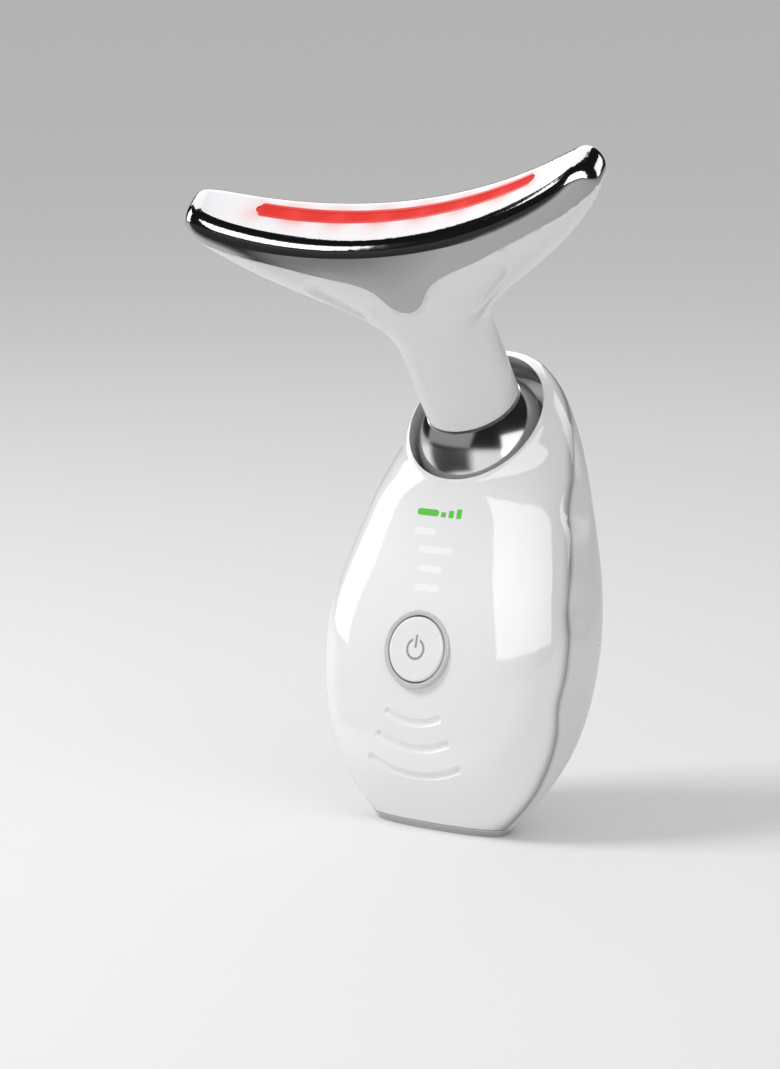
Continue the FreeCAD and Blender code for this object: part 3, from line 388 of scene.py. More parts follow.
@dataclass(frozen=True)
class MouldedGloss(Finish):
    """Polished moulded plastic with the faint waviness of a moulding and a few rubbed places."""

    roughness: float = 0.07
    wave_mm: float = 0.010
    coat: float = 0.35
    cloud_size_mm: float = 22.0
    rubbed_size_mm: float = 7.0
    wave_size_mm: float = 9.0
    ripple_size_mm: float = 1.1
    seam: Optional[SeamLine] = None

    def draw(self, nodes: NodeSet) -> None:
        """Draws cloudy colour, rubbed roughness and a slow wave."""
        point = nodes.place(self.space)
        cloud = nodes.noise(point, self.cloud_size_mm, 3.0)
        rubbed = nodes.noise(point, self.rubbed_size_mm, 4.0, 0.6).step(0.52, 0.75)
        ripple = nodes.noise(point, self.ripple_size_mm, 2.0) * 0.04
        wave = nodes.noise(point, self.wave_size_mm, 1.0) * 0.8 + ripple
        colour = nodes.mix(cloud, self.shaded(0.975), self.shaded(1.012))
        # Painted shade along the seam, and at the foot where it is switched on.
        if self.seam is not None:
            colour = self.seam.over(nodes, point, colour)
        nodes.surface({
            "Base Color": colour,
            "Roughness": self.roughness + rubbed * 0.035,
            "IOR": 1.49,
            "Coat Weight": self.coat,
            "Coat Roughness": 0.03,
            "Normal": nodes.bump(wave, self.wave_mm),
        })


@dataclass(frozen=True)
class MouldedSatin(Finish):
    """Moulded plastic with a fine spark-worn grain."""

    roughness: float = 0.36
    grain_mm: float = 0.28
    depth_mm: float = 0.012
    cloud_size_mm: float = 16.0
    worn_size_mm: float = 9.0
    seam: Optional[SeamLine] = None

    def draw(self, nodes: NodeSet) -> None:
        """Draws a fine grain over a slow change of tone."""
        point = nodes.place(self.space)
        cloud = nodes.noise(point, self.cloud_size_mm, 3.0)
        specks = nodes.noise(point, self.grain_mm * 0.7, 2.0)
        grain = nodes.cells(point, self.grain_mm) * 0.6 + specks * 0.4
        worn = nodes.noise(point, self.worn_size_mm, 3.0)
        colour = nodes.mix(cloud, self.shaded(0.975), self.shaded(1.015))
        # Painted shade along the seam and at the foot.
        if self.seam is not None:
            colour = self.seam.over(nodes, point, colour)
        nodes.surface({
            "Base Color": colour,
            "Roughness": self.roughness - worn * 0.04,
            "IOR": 1.48,
            "Normal": nodes.bump(grain, self.depth_mm, 0.6),
        })


@dataclass(frozen=True)
class Mirror(Finish):
    """Bright plating: hard reflections, with faint wiping marks and a breath of haze."""

    roughness: float = 0.035
    haze: float = 0.05
    tint_size_mm: float = 18.0
    wiped_size_mm: float = 1.6
    breath_size_mm: float = 12.0
    wave_size_mm: float = 14.0
    wave_mm: float = 0.012

    def tint(self, nodes: NodeSet, point: bpy.types.NodeSocket) -> Any:
        """The plating's colour."""
        patch = nodes.noise(point, self.tint_size_mm, 2.0)
        return nodes.mix(patch, self.shaded(0.96), self.shaded(1.03))

    def draw(self, nodes: NodeSet) -> None:
        """Draws the plating."""
        point = nodes.place(self.space)
        strokes = nodes.stretched(point, (1.0, 0.25, 0.6))
        wiped = nodes.noise(strokes, self.wiped_size_mm, 3.0, 0.55).step(0.5, 0.8)
        breath = nodes.noise(point, self.breath_size_mm, 3.0).step(0.45, 0.8)
        nodes.surface({
            "Base Color": self.tint(nodes, point),
            "Metallic": 1.0,
            "Roughness": self.roughness + wiped * breath * self.haze,
            "Normal": nodes.bump(nodes.noise(point, self.wave_size_mm, 1.0), self.wave_mm),
            **self.lit(nodes, point),
        })

    def lit(self, nodes: NodeSet, point: bpy.types.NodeSocket) -> Setting:
        """Sockets for painted light that the plating gives off; plain plating has none."""
        return {}


@dataclass(frozen=True)
class LitPlating(Mirror):
    """The massage plate's plating, with the red light of the lamps along its slot painted on as a pink
    tint and a glow.
    """

    # Painted red light on the plating: its colour, and below how it spreads from the slot and gathers over
    # each lamp.
    glow: Colour = (0.42, 0.12, 0.11)
    slot_y_mm: float = 0.6
    slot_half_mm: float = 1.55
    slot_length_mm: float = 32.2
    lamp_pitch_mm: float = 9.6
    sag_mm: float = 96.0
    top_mm: float = 55.9
    reach_mm: float = 2.1
    # Where the painted glow lies on the slot's edge, its colour, and the dark base under it.
    edge_mm: Tuple[float, float] = (1.0, 0.6)
    painted_edge_glow: Colour = (0.68, 0.036, 0.032)
    painted_glow_base: Colour = (0.05, 0.01, 0.01)

    def beside_slot(self, nodes: NodeSet, point: bpy.types.NodeSocket) -> Tuple[Sock, Sock]:
        """How far a point is from the lit slot, in millimetres, and whether it is on the top face."""
        x, y, z = nodes.axes(point)
        drop = z - (self.top_mm + self.sag_mm)
        on_top = ((x * x + drop * drop).root() - self.sag_mm).step(1.0, 0.25)
        beside = (abs(y - self.slot_y_mm) - self.slot_half_mm).most(0.0)
        past = (abs(x) - self.slot_length_mm + self.slot_half_mm).most(0.0)
        return (beside * beside + past * past).root(), on_top

    def edge(self, nodes: NodeSet, point: bpy.types.NodeSocket) -> Sock:
        """Whether a point is on the rounded edge of the slot."""
        away, on_top = self.beside_slot(nodes, point)
        return away.step(*self.edge_mm) * on_top

    def tint(self, nodes: NodeSet, point: bpy.types.NodeSocket) -> Any:
        """The plating's colour, with painted red light beside the lit slot and a dark base under the
        painted glow on the slot's edge.
        """
        plain = super().tint(nodes, point)
        away, on_top = self.beside_slot(nodes, point)
        x, y, _ = nodes.axes(point)
        # Painted pools of red light, one over each lamp, stronger towards the front.
        lamps = 0.62 + 0.38 * (x * (WHOLE_TURN / self.lamp_pitch_mm) + math.pi).cos()
        front = (self.slot_y_mm - y).step(-1.0, 2.0) * 0.45 + 0.55
        painted_red_light = (away * (-1.0 / self.reach_mm)).exp() * lamps * on_top * front
        pink = nodes.mix(painted_red_light.least(1.0), plain, self.glow)
        # Dark base where the painted glow lies on the slot's edge.
        return nodes.mix(self.edge(nodes, point), pink, self.painted_glow_base)

    def lit(self, nodes: NodeSet, point: bpy.types.NodeSocket) -> Setting:
        """Painted red glow that the plating gives off on the rounded edge of the slot, standing in for the
        strip's light spilling over it.
        """
        light = nodes.mix(self.edge(nodes, point), (0.0, 0.0, 0.0), self.painted_edge_glow)
        return {"Emission Color": light, "Emission Strength": 1.0}


@dataclass(frozen=True)
class LitStrip(Finish):
    """A milky diffuser lit from behind by a row of lamps."""

    hot: Colour = (0.90, 0.10, 0.08)
    lamp_pitch_mm: float = 9.6
    milk_size_mm: float = 1.4
    grain_mm: float = 0.8
    strength: float = 0.86

    def draw(self, nodes: NodeSet) -> None:
        """Draws hot places over the lamps in a milky strip."""
        point = nodes.place(self.space)
        x, _, _ = nodes.axes(point)
        lamp = (0.5 + 0.5 * (x * (WHOLE_TURN / self.lamp_pitch_mm) + math.pi).cos()) ** 2.0
        milk = nodes.noise(point, self.milk_size_mm, 2.0) * 0.25
        light = nodes.mix((lamp * 0.35 + milk).least(1.0), self.colour, self.hot)
        nodes.surface({
            "Base Color": self.shaded(0.3),
            "Roughness": 0.55 + nodes.noise(point, self.grain_mm, 2.0) * 0.1,
            "Specular IOR Level": 0.03,
            "Emission Color": light,
            "Emission Strength": self.strength,
        })


@dataclass(frozen=True)
class LitField(Finish):
    """A small light field flush with the shell."""

    strength: float = 0.8
    cloud_size_mm: float = 1.2

    def draw(self, nodes: NodeSet) -> None:
        """Draws a glow with a faint cloud in it."""
        point = nodes.place(self.space)
        cloud = nodes.noise(point, self.cloud_size_mm, 2.0)
        nodes.surface({
            "Base Color": self.shaded(0.6),
            "Roughness": 0.16 + cloud * 0.06,
            "IOR": 1.49,
            "Emission Color": nodes.mix(cloud, self.shaded(0.86), self.shaded(1.08)),
            "Emission Strength": self.strength,
        })


@dataclass(frozen=True)
class Printed(Finish):
    """Thin printed ink."""

    grain_mm: float = 0.15
    depth_mm: float = 0.004

    def draw(self, nodes: NodeSet) -> None:
        """Draws ink with a little screen grain."""
        point = nodes.place(self.space)
        grain = nodes.noise(point, self.grain_mm, 2.0)
        nodes.surface({
            "Base Color": nodes.mix(grain, self.shaded(0.9), self.shaded(1.08)),
            "Roughness": 0.4 + grain * 0.1,
            "Normal": nodes.bump(grain, self.depth_mm, 0.5),
        })


@dataclass(frozen=True)
class TurnedMetal(Finish):
    """Plain machined metal with fine turning lines."""

    roughness: float = 0.28
    line_mm: float = 0.12
    depth_mm: float = 0.006
    tarnish_size_mm: float = 3.0

    def draw(self, nodes: NodeSet) -> None:
        """Draws lines across and patchy tarnish."""
        point = nodes.place(self.space)
        lines = nodes.noise(nodes.stretched(point, (0.15, 0.15, 1.0)), self.line_mm, 2.0)
        tarnish = nodes.noise(point, self.tarnish_size_mm, 4.0, 0.6)
        nodes.surface({
            "Base Color": nodes.mix(tarnish, self.shaded(0.85), self.shaded(1.08)),
            "Metallic": 1.0,
            "Roughness": self.roughness + lines * 0.14 - 0.05,
            "Normal": nodes.bump(lines, self.depth_mm, 0.6),
        })


@dataclass(frozen=True)
class Laminate(Finish):
    """Board laminate: solder mask over a glass weave, with faint tracks."""

    track: Colour = (0.10, 0.36, 0.17)
    pitch_mm: float = 1.9
    weave_per_mm: float = 7.0
    bend_size_mm: float = 9.0
    depth_mm: float = 0.03

    def draw(self, nodes: NodeSet) -> None:
        """Draws weave and tracks."""
        point = nodes.place(self.space)
        x, _, z = nodes.axes(point)
        weave = (x * self.weave_per_mm).cos() * (z * self.weave_per_mm).cos()
        bend = nodes.noise(point, self.bend_size_mm, 1.0) * 5.0
        tracks = ((x + z * 0.4 + bend) * (WHOLE_TURN / self.pitch_mm)).cos().step(0.55, 0.75)
        nodes.surface({
            "Base Color": nodes.mix(tracks, self.colour, self.track),
            "Roughness": 0.34 + weave * 0.05,
            "Normal": nodes.bump(tracks + weave * 0.2, self.depth_mm, 0.5),
        })


@dataclass(frozen=True)
class Pouch(Finish):
    """Crimped foil of a flat cell."""

    wrinkle_size_mm: float = 2.5
    depth_mm: float = 0.12

    def draw(self, nodes: NodeSet) -> None:
        """Draws shallow wrinkles."""
        point = nodes.place(self.space)
        folds = nodes.stretched(point, (1.0, 1.0, 0.4))
        wrinkle = nodes.noise(folds, self.wrinkle_size_mm, 4.0, 0.6)
        nodes.surface({
            "Base Color": nodes.mix(wrinkle, self.shaded(0.9), self.shaded(1.05)),
            "Metallic": 0.9,
            "Roughness": 0.3 + wrinkle * 0.2,
            "Normal": nodes.bump(wrinkle, self.depth_mm, 0.5),
        })


@dataclass(frozen=True)
class Rubbery(Finish):
    """Foam, sleeves and other soft dull pieces."""

    pore_mm: float = 0.4
    depth_mm: float = 0.04
    dust_size_mm: float = 4.0

    def draw(self, nodes: NodeSet) -> None:
        """Draws pores and a dusty tone."""
        point = nodes.place(self.space)
        pores = nodes.cells(point, self.pore_mm)
        dust = nodes.noise(point, self.dust_size_mm, 4.0)
        nodes.surface({
            "Base Color": nodes.mix(dust, self.shaded(0.85), self.shaded(1.15)),
            "Roughness": 0.62 + dust * 0.15,
            "Normal": nodes.bump(pores, self.depth_mm, 0.6),
        })


@dataclass(frozen=True)
class AmberFilm(Finish):
    """Thin film with the heater's winding track in it."""

    track: Colour = (0.30, 0.10, 0.02)
    pitch_mm: float = 1.6
    depth_mm: float = 0.02
    smear_size_mm: float = 1.5

    def draw(self, nodes: NodeSet) -> None:
        """Draws the winding track."""
        point = nodes.place(self.space)
        x, _, _ = nodes.axes(point)
        track = (x * (WHOLE_TURN / self.pitch_mm)).cos().step(0.35, 0.6)
        nodes.surface({
            "Base Color": nodes.mix(track, self.colour, self.track),
            "Roughness": 0.25 + nodes.noise(point, self.smear_size_mm, 3.0) * 0.15,
            "Normal": nodes.bump(track, self.depth_mm, 0.5),
        })


# Both shells get painted shade beside their seam; the grey shell also gets painted shade at its foot.
SHELL_WHITE = MouldedGloss("shell_white_gloss", (0.86, 0.86, 0.865), Space.BODY,
                           seam=SeamLine(painted_foot_shade=0.0))
SHELL_GREY = MouldedSatin("shell_grey_satin", (0.72, 0.72, 0.73), Space.BODY, roughness=0.30,
                          depth_mm=0.004, seam=SeamLine(width_mm=0.9, shade=0.45))
HEAD_WHITE = MouldedGloss("head_white_gloss", (0.76, 0.76, 0.768), Space.HEAD, roughness=0.28, coat=0.6)
PLATE_CHROME = LitPlating("plate_bright_plating", (0.42, 0.42, 0.43), Space.HEAD, roughness=0.10)
BALL_CHROME = Mirror("ball_bright_plating", (0.80, 0.80, 0.81), Space.BODY, roughness=0.15)
STRIP_RED = LitStrip("strip_red_diffuser", (0.66, 0.032, 0.028), Space.HEAD)
FIELD_GREEN = LitField("field_green", (0.10, 0.42, 0.06), Space.BODY)
FIELD_WHITE = LitField("field_white", (0.97, 0.97, 0.97), Space.BODY, strength=0.36)
BUTTON_WHITE = MouldedGloss("button_white", (0.62, 0.62, 0.625), Space.BODY, roughness=0.2, coat=0.1)
RING_SILVER = MouldedSatin("ring_silver", (0.57, 0.57, 0.58), Space.BODY, roughness=0.24, depth_mm=0.004)
MARK_GREY = Printed("mark_grey_ink", (0.30, 0.30, 0.31), Space.BODY)
INNER_WHITE = MouldedSatin("inner_white_moulding", (0.62, 0.62, 0.60), Space.BODY, roughness=0.45)
INNER_BLACK = MouldedSatin("inner_black_moulding", (0.03, 0.03, 0.032), Space.BODY, roughness=0.42)
BOARD_GREEN = Laminate("board_green", (0.03, 0.16, 0.07), Space.BODY)
PIECE_STEEL = TurnedMetal("piece_steel", (0.56, 0.56, 0.57), Space.BODY)
WEIGHT_BRASS = TurnedMetal("weight_brass", (0.66, 0.48, 0.20), Space.HEAD)
CELL_FOIL = Pouch("cell_foil", (0.70, 0.71, 0.73), Space.BODY)
FILM_AMBER = AmberFilm("film_amber", (0.60, 0.30, 0.04), Space.HEAD)
GUIDE_CLEAR = MouldedGloss("guide_clear", (0.82, 0.86, 0.86), Space.BODY, roughness=0.12)
PAD_FOAM = Rubbery("pad_foam", (0.05, 0.05, 0.055), Space.BODY)
SLEEVE_RED = Rubbery("sleeve_red", (0.42, 0.02, 0.02), Space.BODY, pore_mm=0.15)
LAMP_WHITE = LitField("lamp_white", (0.95, 0.93, 0.88), Space.BODY, strength=0.4)
LAMP_RED = LitField("lamp_red", (0.80, 0.05, 0.04), Space.HEAD, strength=1.0)
CONTACT_GOLD = TurnedMetal("contact_gold", (0.80, 0.58, 0.22), Space.ROW, roughness=0.2)


def give(piece: bpy.types.Object, finish: Finish) -> None:
    """Gives a piece its one finish."""
    piece.data.materials.clear()
    piece.data.materials.append(finish.material())


def dress(finishes: Dict[str, Finish]) -> None:
    """Gives CAD nodes their finishes.

    Args:
        finishes: The finishes by node name.
    """
    for node, finish in finishes.items():
        give(frame["nodes"][node], finish)
        LOG.info("dressed %s with %s", node, finish.name)


def cad_mesh(node: str) -> bmesh.types.BMesh:
    """A copy of a CAD node's mesh, in the CAD frame."""
    mesh = bmesh.new()
    mesh.from_mesh(frame["nodes"][node].data)
    bmesh.ops.transform(mesh, matrix=frame["nodes"][node].matrix_world, verts=mesh.verts)
    return mesh


def mesh_piece(name: str, mesh: bmesh.types.BMesh) -> bpy.types.Object:
    """A new object from a mesh under construction.

    Args:
        name: The piece's name.
        mesh: The mesh, which is freed.

    Returns:
        The object, linked into the scene.
    """
    data = bpy.data.meshes.new(name)
    mesh.to_mesh(data)
    mesh.free()
    piece = bpy.data.objects.new(name, data)
    bpy.context.scene.collection.objects.link(piece)
    return piece


def smooth(piece: bpy.types.Object) -> None:
    """Shades a piece smooth, with its sharp edges kept."""
    piece.data.polygons.foreach_set("use_smooth", [True] * len(piece.data.polygons))
    piece.data.set_sharp_from_angle(angle=SHARP_EDGE)


def rise(value: float, low: float, high: float) -> float:
    """A smooth rise from 0 to 1 between two values."""
    share = min(max((value - low) / (high - low), 0.0), 1.0)
    return share * share * (3.0 - 2.0 * share)


def block_piece(name: str, boxes: Sequence[Tuple[Triple, Triple]], bevel: float) -> bpy.types.Object:
    """A mesh of bevelled boxes.

    Args:
        name: The piece's name.
        boxes: Lowest and highest corner of each box.
        bevel: Width of the rounded edges.

    Returns:
        The new object, in the CAD frame.
    """
    mesh = bmesh.new()
    for low, high in boxes:
        size = [b - a for a, b in zip(low, high)]
        middle = [(a + b) / 2 for a, b in zip(low, high)]
        matrix = Matrix.Translation(middle) @ Matrix.Diagonal((*size, 1.0))
        bmesh.ops.create_cube(mesh, size=1.0, matrix=matrix)
    bmesh.ops.bevel(mesh, geom=list(mesh.edges), offset=bevel, segments=2, affect="EDGES")
    return mesh_piece(name, mesh)


@dataclass
class Handle:
    """The two shells, their lights and the screws of the ball's cup."""

    finishes: Dict[str, Finish] = field(default_factory=lambda: {
        "front_shell": SHELL_WHITE, "rear_shell": SHELL_GREY, "level_lights": FIELD_GREEN,
        "mode_lights": FIELD_WHITE, "cup_screws": PIECE_STEEL,
    })

    def build(self) -> None:
        """Dresses the shells, the lights and the screws."""
        dress(self.finishes)


@dataclass
class PowerButton:
    """The round button with its ring and the switch under it."""

    finishes: Dict[str, Finish] = field(default_factory=lambda: {
        "button_ring": RING_SILVER, "power_button": BUTTON_WHITE, "power_mark": MARK_GREY,
        "switch_body": INNER_BLACK, "switch_plunger": INNER_WHITE,
    })

    def build(self) -> None:
        """Dresses the button's pieces."""
        dress(self.finishes)


@dataclass
class BallJoint:
    """The bright ball that the neck turns on, drawn as a domed cover, and the cup with room for it."""

    radius: float = 0.0154
    middle_z: float = -0.0058
    flat_z: float = 0.0053
    stud_radius: float = 0.0045
    stud_bore: float = 0.0026
    stud_top: float = 0.0105
    wall: float = 0.0010
    skirt_front: Tuple[float, float] = (-0.0153, 0.0022)
    skirt_rear: Tuple[float, float] = (0.0130, 0.0014)
    pivot_y: float = -0.00074
    room_radii: Tuple[float, float] = (0.0135, 0.0165)
    room_turns_deg: Tuple[float, float] = (-36.0, 16.0)
    room_ends: Tuple[float, float] = (0.02, 0.98)
    room_steps: int = 24
    last_angle: float = math.radians(171.0)
    rings: int = 56
    sides: int = 144
    finishes: Dict[str, Finish] = field(default_factory=lambda: {
        "pivot_pin": PIECE_STEEL, "friction_washers": INNER_BLACK, "retaining_clip": PIECE_STEEL,
    })

    def profile(self) -> List[Tuple[float, float]]:
        """Radius and height of the ball's outline, from the stud's mouth down."""
        first = math.acos((self.flat_z - self.middle_z) / self.radius)
        line = [(self.stud_bore, self.stud_top), (self.stud_radius, self.stud_top),
                (self.stud_radius, self.flat_z)]
        for ring in range(self.rings + 1):
            angle = first + (self.last_angle - first) * ring / self.rings
            line.append((self.radius * math.sin(angle), self.middle_z + self.radius * math.cos(angle)))
        return line

    def ball(self) -> bpy.types.Object:
        """The turned ball, cut off below where the opening hides it.

        Returns:
            The new object, in the CAD frame.
        """
        mesh = bmesh.new()
        turns = [WHOLE_TURN * side / self.sides for side in range(self.sides)]
        rows = [[mesh.verts.new((r * math.cos(turn), r * math.sin(turn), z)) for turn in turns]
                for r, z in self.profile()]
        for upper, lower in zip(rows, rows[1:]):
            for side in range(self.sides):
                after = (side + 1) % self.sides
                mesh.faces.new((upper[side], lower[side], lower[after], upper[after]))
        bmesh.ops.transform(mesh, matrix=Space.HEAD.matrix(), verts=mesh.verts)
        rim = Space.RIM.matrix()
        (front_y, front_z), (rear_y, rear_z) = self.skirt_front, self.skirt_rear
        upright = rim.to_3x3() @ Vector((0.0, front_z - rear_z, rear_y - front_y)).normalized()
        everything = list(mesh.verts) + list(mesh.edges) + list(mesh.faces)
        bmesh.ops.bisect_plane(mesh, geom=everything, plane_co=rim @ Vector((0.0, front_y, front_z)),
                               plane_no=upright, clear_inner=True)
        piece = mesh_piece("ball_cover", mesh)
        smooth(piece)
        solid = piece.modifiers.new("wall", "SOLIDIFY")
        solid.thickness, solid.offset = self.wall, -1.0
        return piece

    def room_corner(self, radius: float, around: float, along: float) -> Vector:
        """A point of the room for the skirt, at angles about and along the tilt axis."""
        reach = radius * math.sin(along)
        place = Vector((radius * math.cos(along), -reach * math.cos(around), reach * math.sin(around)))
        return Space.RIM.matrix() @ (place + Vector((0.0, self.pivot_y, 0.0)))

    def skirt_room(self) -> bpy.types.Object:
        """The room that the ball's front edge sweeps through as the head nods.

        Returns:
            A closed cutter, in the CAD frame.
        """
        mesh = bmesh.new()
        count = self.room_steps
        low, high = (math.radians(turn) for turn in self.room_turns_deg)
        arounds = [low + (high - low) * step / count for step in range(count + 1)]
        first, last = (math.pi * share for share in self.room_ends)
        alongs = [first + (last - first) * step / count for step in range(count + 1)]
        inner, outer = ([[mesh.verts.new(self.room_corner(radius, around, along)) for along in alongs]
                         for around in arounds] for radius in self.room_radii)
        for a in range(count):
            for b in range(count):
                mesh.faces.new((outer[a][b], outer[a + 1][b], outer[a + 1][b + 1], outer[a][b + 1]))
                mesh.faces.new((inner[a][b], inner[a][b + 1], inner[a + 1][b + 1], inner[a + 1][b]))
        for end in (0, count):
            for a in range(count):
                b = a + 1
                mesh.faces.new((inner[end][a], outer[end][a], outer[end][b], inner[end][b]))
                mesh.faces.new((inner[a][end], inner[b][end], outer[b][end], outer[a][end]))
        bmesh.ops.recalc_face_normals(mesh, faces=mesh.faces)
        return mesh_piece("skirt_room", mesh)

    def cup(self) -> bpy.types.Object:
        """The cup, relieved in front so that the ball's edge passes.

        Returns:
            The new object, in the CAD frame.
        """
        piece = mesh_piece("relieved_cup", cad_mesh("ball_cup"))
        room = self.skirt_room()
        cut = piece.modifiers.new("room", "BOOLEAN")
        cut.operation, cut.solver, cut.object = "DIFFERENCE", "EXACT", room
        state = bpy.context.evaluated_depsgraph_get()
        shape = bpy.data.meshes.new_from_object(piece.evaluated_get(state))
        piece.modifiers.clear()
        piece.data = shape
        bpy.data.objects.remove(room)
        return piece

    def build(self) -> None:
        """Dresses the joint and adds the ball and its cup."""
        dress(self.finishes)
        ball = self.ball()
        give(ball, BALL_CHROME)
        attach(ball, "ball")
        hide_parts("joint_ball")
        LOG.info("added %s", ball.name)
        cup = self.cup()
        give(cup, INNER_WHITE)
        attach(cup, "handle")
        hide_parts("ball_cup")
        LOG.info("added %s", cup.name)


@dataclass
class MassageHead:
    """Neck, plated bar, light strip and what is inside."""

    finishes: Dict[str, Finish] = field(default_factory=lambda: {
        "massage_plate": PLATE_CHROME, "light_strip_lens": STRIP_RED,
        "lamp_board": BOARD_GREEN, "red_lamps": LAMP_RED, "lamp_board_screws": PIECE_STEEL,
        "heater_film": FILM_AMBER, "heat_sensor": INNER_BLACK, "motor_can": PIECE_STEEL,
        "motor_holder": INNER_WHITE, "motor_shaft": PIECE_STEEL, "eccentric_weight": WEIGHT_BRASS,
        "head_wires": SLEEVE_RED,
    })
    ridge_low_mm: Tuple[float, float] = (11.8, 34.3)
    ridge_high_mm: Tuple[float, float] = (24.4, 46.4)
    ridge_edge_mm: Tuple[float, float] = (-0.8, 0.5)
    front_mm: Tuple[float, float] = (-1.0, 1.0)
    front_normal_y: float = -0.1
    hollow_mm: float = 7.5
    hollow_depth_mm: float = 1.2
    whole_bow: float = 0.7
    margin_mm: float = 2.0
    finest_mm: float = 0.55
    edge_parts: int = 8
    rounds: int = 8
    weld: float = 1e-7
    least_area: float = 1e-9
    flat_angle: float = 0.15

    def on_ridge(self, place: Vector) -> Tuple[float, float, float]:
        """Where a place lies on the hollow's ridge.

        Args:
            place: The place in the head frame, in millimetres.

        Returns:
            Millimetres along the ridge, millimetres across it towards the tongue, and the ridge's length.
        """
        low, high = Vector(self.ridge_low_mm), Vector(self.ridge_high_mm)
        along = (high - low).normalized()
        reach = Vector((abs(place.x), place.z)) - low
        return reach.dot(along), reach.y * along.x - reach.x * along.y, (high - low).length

    def hollow(self, place: Vector) -> float:
        """Depth share of the hollow: whole at its ridge, running out towards the tongue."""
        along, across, length = self.on_ridge(place)
        bow = min(max(along / length, 0.0), 1.0)
        run_out = 1.0 - min(max(across / self.hollow_mm, 0.0), 1.0)
        ends = rise(bow * (1.0 - bow) * 4.0, 0.0, self.whole_bow)
        return rise(across, *self.ridge_edge_mm) * run_out * ends * rise(-place.y, *self.front_mm)

    def near_hollow(self, place: Vector) -> bool:
        """Whether a place in the head frame lies in or beside a hollow."""
        along, across, length = self.on_ridge(place)
        inside = -self.margin_mm < along < length + self.margin_mm
        beside = -self.margin_mm < across < self.hollow_mm + self.margin_mm
        return inside and beside and place.y < self.front_mm[1]

    def faces_front(self, normal: Vector, home: Matrix) -> bool:
        """Whether a normal points out of the head's front."""
        return (home.to_3x3() @ normal).y < self.front_normal_y

    def coarse(self, edge: bmesh.types.BMEdge, home: Matrix) -> bool:
        """Whether an edge of the outer skin is too long for the hollow it passes.

        Args:
            edge: The edge, in the CAD frame.
            home: From the CAD frame to the head frame.

        Returns:
            True if it has to be split.
        """
        one, two = edge.verts
        if edge.calc_length() < self.finest_mm * MM or not self.faces_front(one.normal + two.normal, home):
            return False
        places = (one.co.lerp(two.co, part / self.edge_parts) for part in range(self.edge_parts + 1))
        return any(self.near_hollow(home @ place / MM) for place in places)

    def refine(self, mesh: bmesh.types.BMesh, home: Matrix) -> None:
        """Splits the long edges round the hollows, a round at a time, and evens the triangles.

        Args:
            mesh: The shell's mesh, in the CAD frame.
            home: From the CAD frame to the head frame.
        """
        for _ in range(self.rounds):
            mesh.normal_update()
            edges = [edge for edge in mesh.edges if self.coarse(edge, home)]
            bmesh.ops.subdivide_edges(mesh, edges=edges, cuts=1)
            bmesh.ops.triangulate(mesh, faces=[face for face in mesh.faces if len(face.verts) > 3])
            near = [face for face in mesh.faces if self.near_hollow(home @ face.calc_center_median() / MM)]
            near = [face for face in near if self.faces_front(face.normal, home)]
            mesh.normal_update()
            flat = dict.fromkeys(edge for face in near for edge in face.edges
                                 if edge.calc_face_angle(math.pi) < self.flat_angle)
            bmesh.ops.beautify_fill(mesh, faces=near, edges=list(flat))
            self.drop_flaps(mesh)

    def shell(self) -> bpy.types.Object:
        """The head's shell with a leaf-shaped hollow beside the tongue on each side.

        Returns:
            The new object, in the CAD frame.
        """
        home = Space.HEAD.matrix().inverted()
        mesh = cad_mesh("head_shell")
        bmesh.ops.remove_doubles(mesh, verts=mesh.verts, dist=self.weld)
        self.refine(mesh, home)
        mesh.normal_update()
        self.press(mesh, home)
        piece = mesh_piece("hollowed_shell", mesh)
        smooth(piece)
        even = piece.modifiers.new("even_shading", "WEIGHTED_NORMAL")
        even.keep_sharp = True
        return piece

    def drop_flaps(self, mesh: bmesh.types.BMesh) -> None:
        """Takes out pairs of faces that lie on each other with the same corners."""
        groups: Dict[Any, List[Any]] = {}
        for face in mesh.faces:
            groups.setdefault(frozenset(face.verts), []).append(face)
        flaps = [face for group in groups.values() if len(group) > 1 for face in group]
        bmesh.ops.delete(mesh, geom=flaps, context="FACES")

    def press(self, mesh: bmesh.types.BMesh, home: Matrix) -> None:
        """Presses the hollows into the outer skin, each side in one direction.

        Args:
            mesh: The shell's mesh, in the CAD frame.
            home: From the CAD frame to the head frame.
        """
        for side in (-1.0, 1.0):
            shares = {vert: self.hollow(home @ vert.co / MM) for vert in mesh.verts
                      if (home @ vert.co).x * side > 0.0}
            shares = {vert: share for vert, share in shares.items() if share > 0.0}
            touched = dict.fromkeys(face for vert in shares for face in vert.link_faces)
            facing = [face for face in touched
                      if face.calc_area() > self.least_area and self.faces_front(face.normal, home)]
            inward = -sum((face.normal * face.calc_area() for face in facing), Vector()).normalized()
            outer = {vert for face in facing for vert in face.verts if vert in shares}
            found = outer
            while found:
                ends = {edge.other_vert(vert) for vert in found for edge in vert.link_edges}
                found = {vert for vert in ends if vert in shares and vert not in outer}
                outer = outer | found
            for vert in outer:
                vert.co += inward * shares[vert] * self.hollow_depth_mm * MM

    def build(self) -> None:
        """Dresses the head and adds its shell."""
        dress(self.finishes)
        shell = self.shell()
        give(shell, HEAD_WHITE)
        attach(shell, "head")
        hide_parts("head_shell")
        LOG.info("added %s", shell.name)


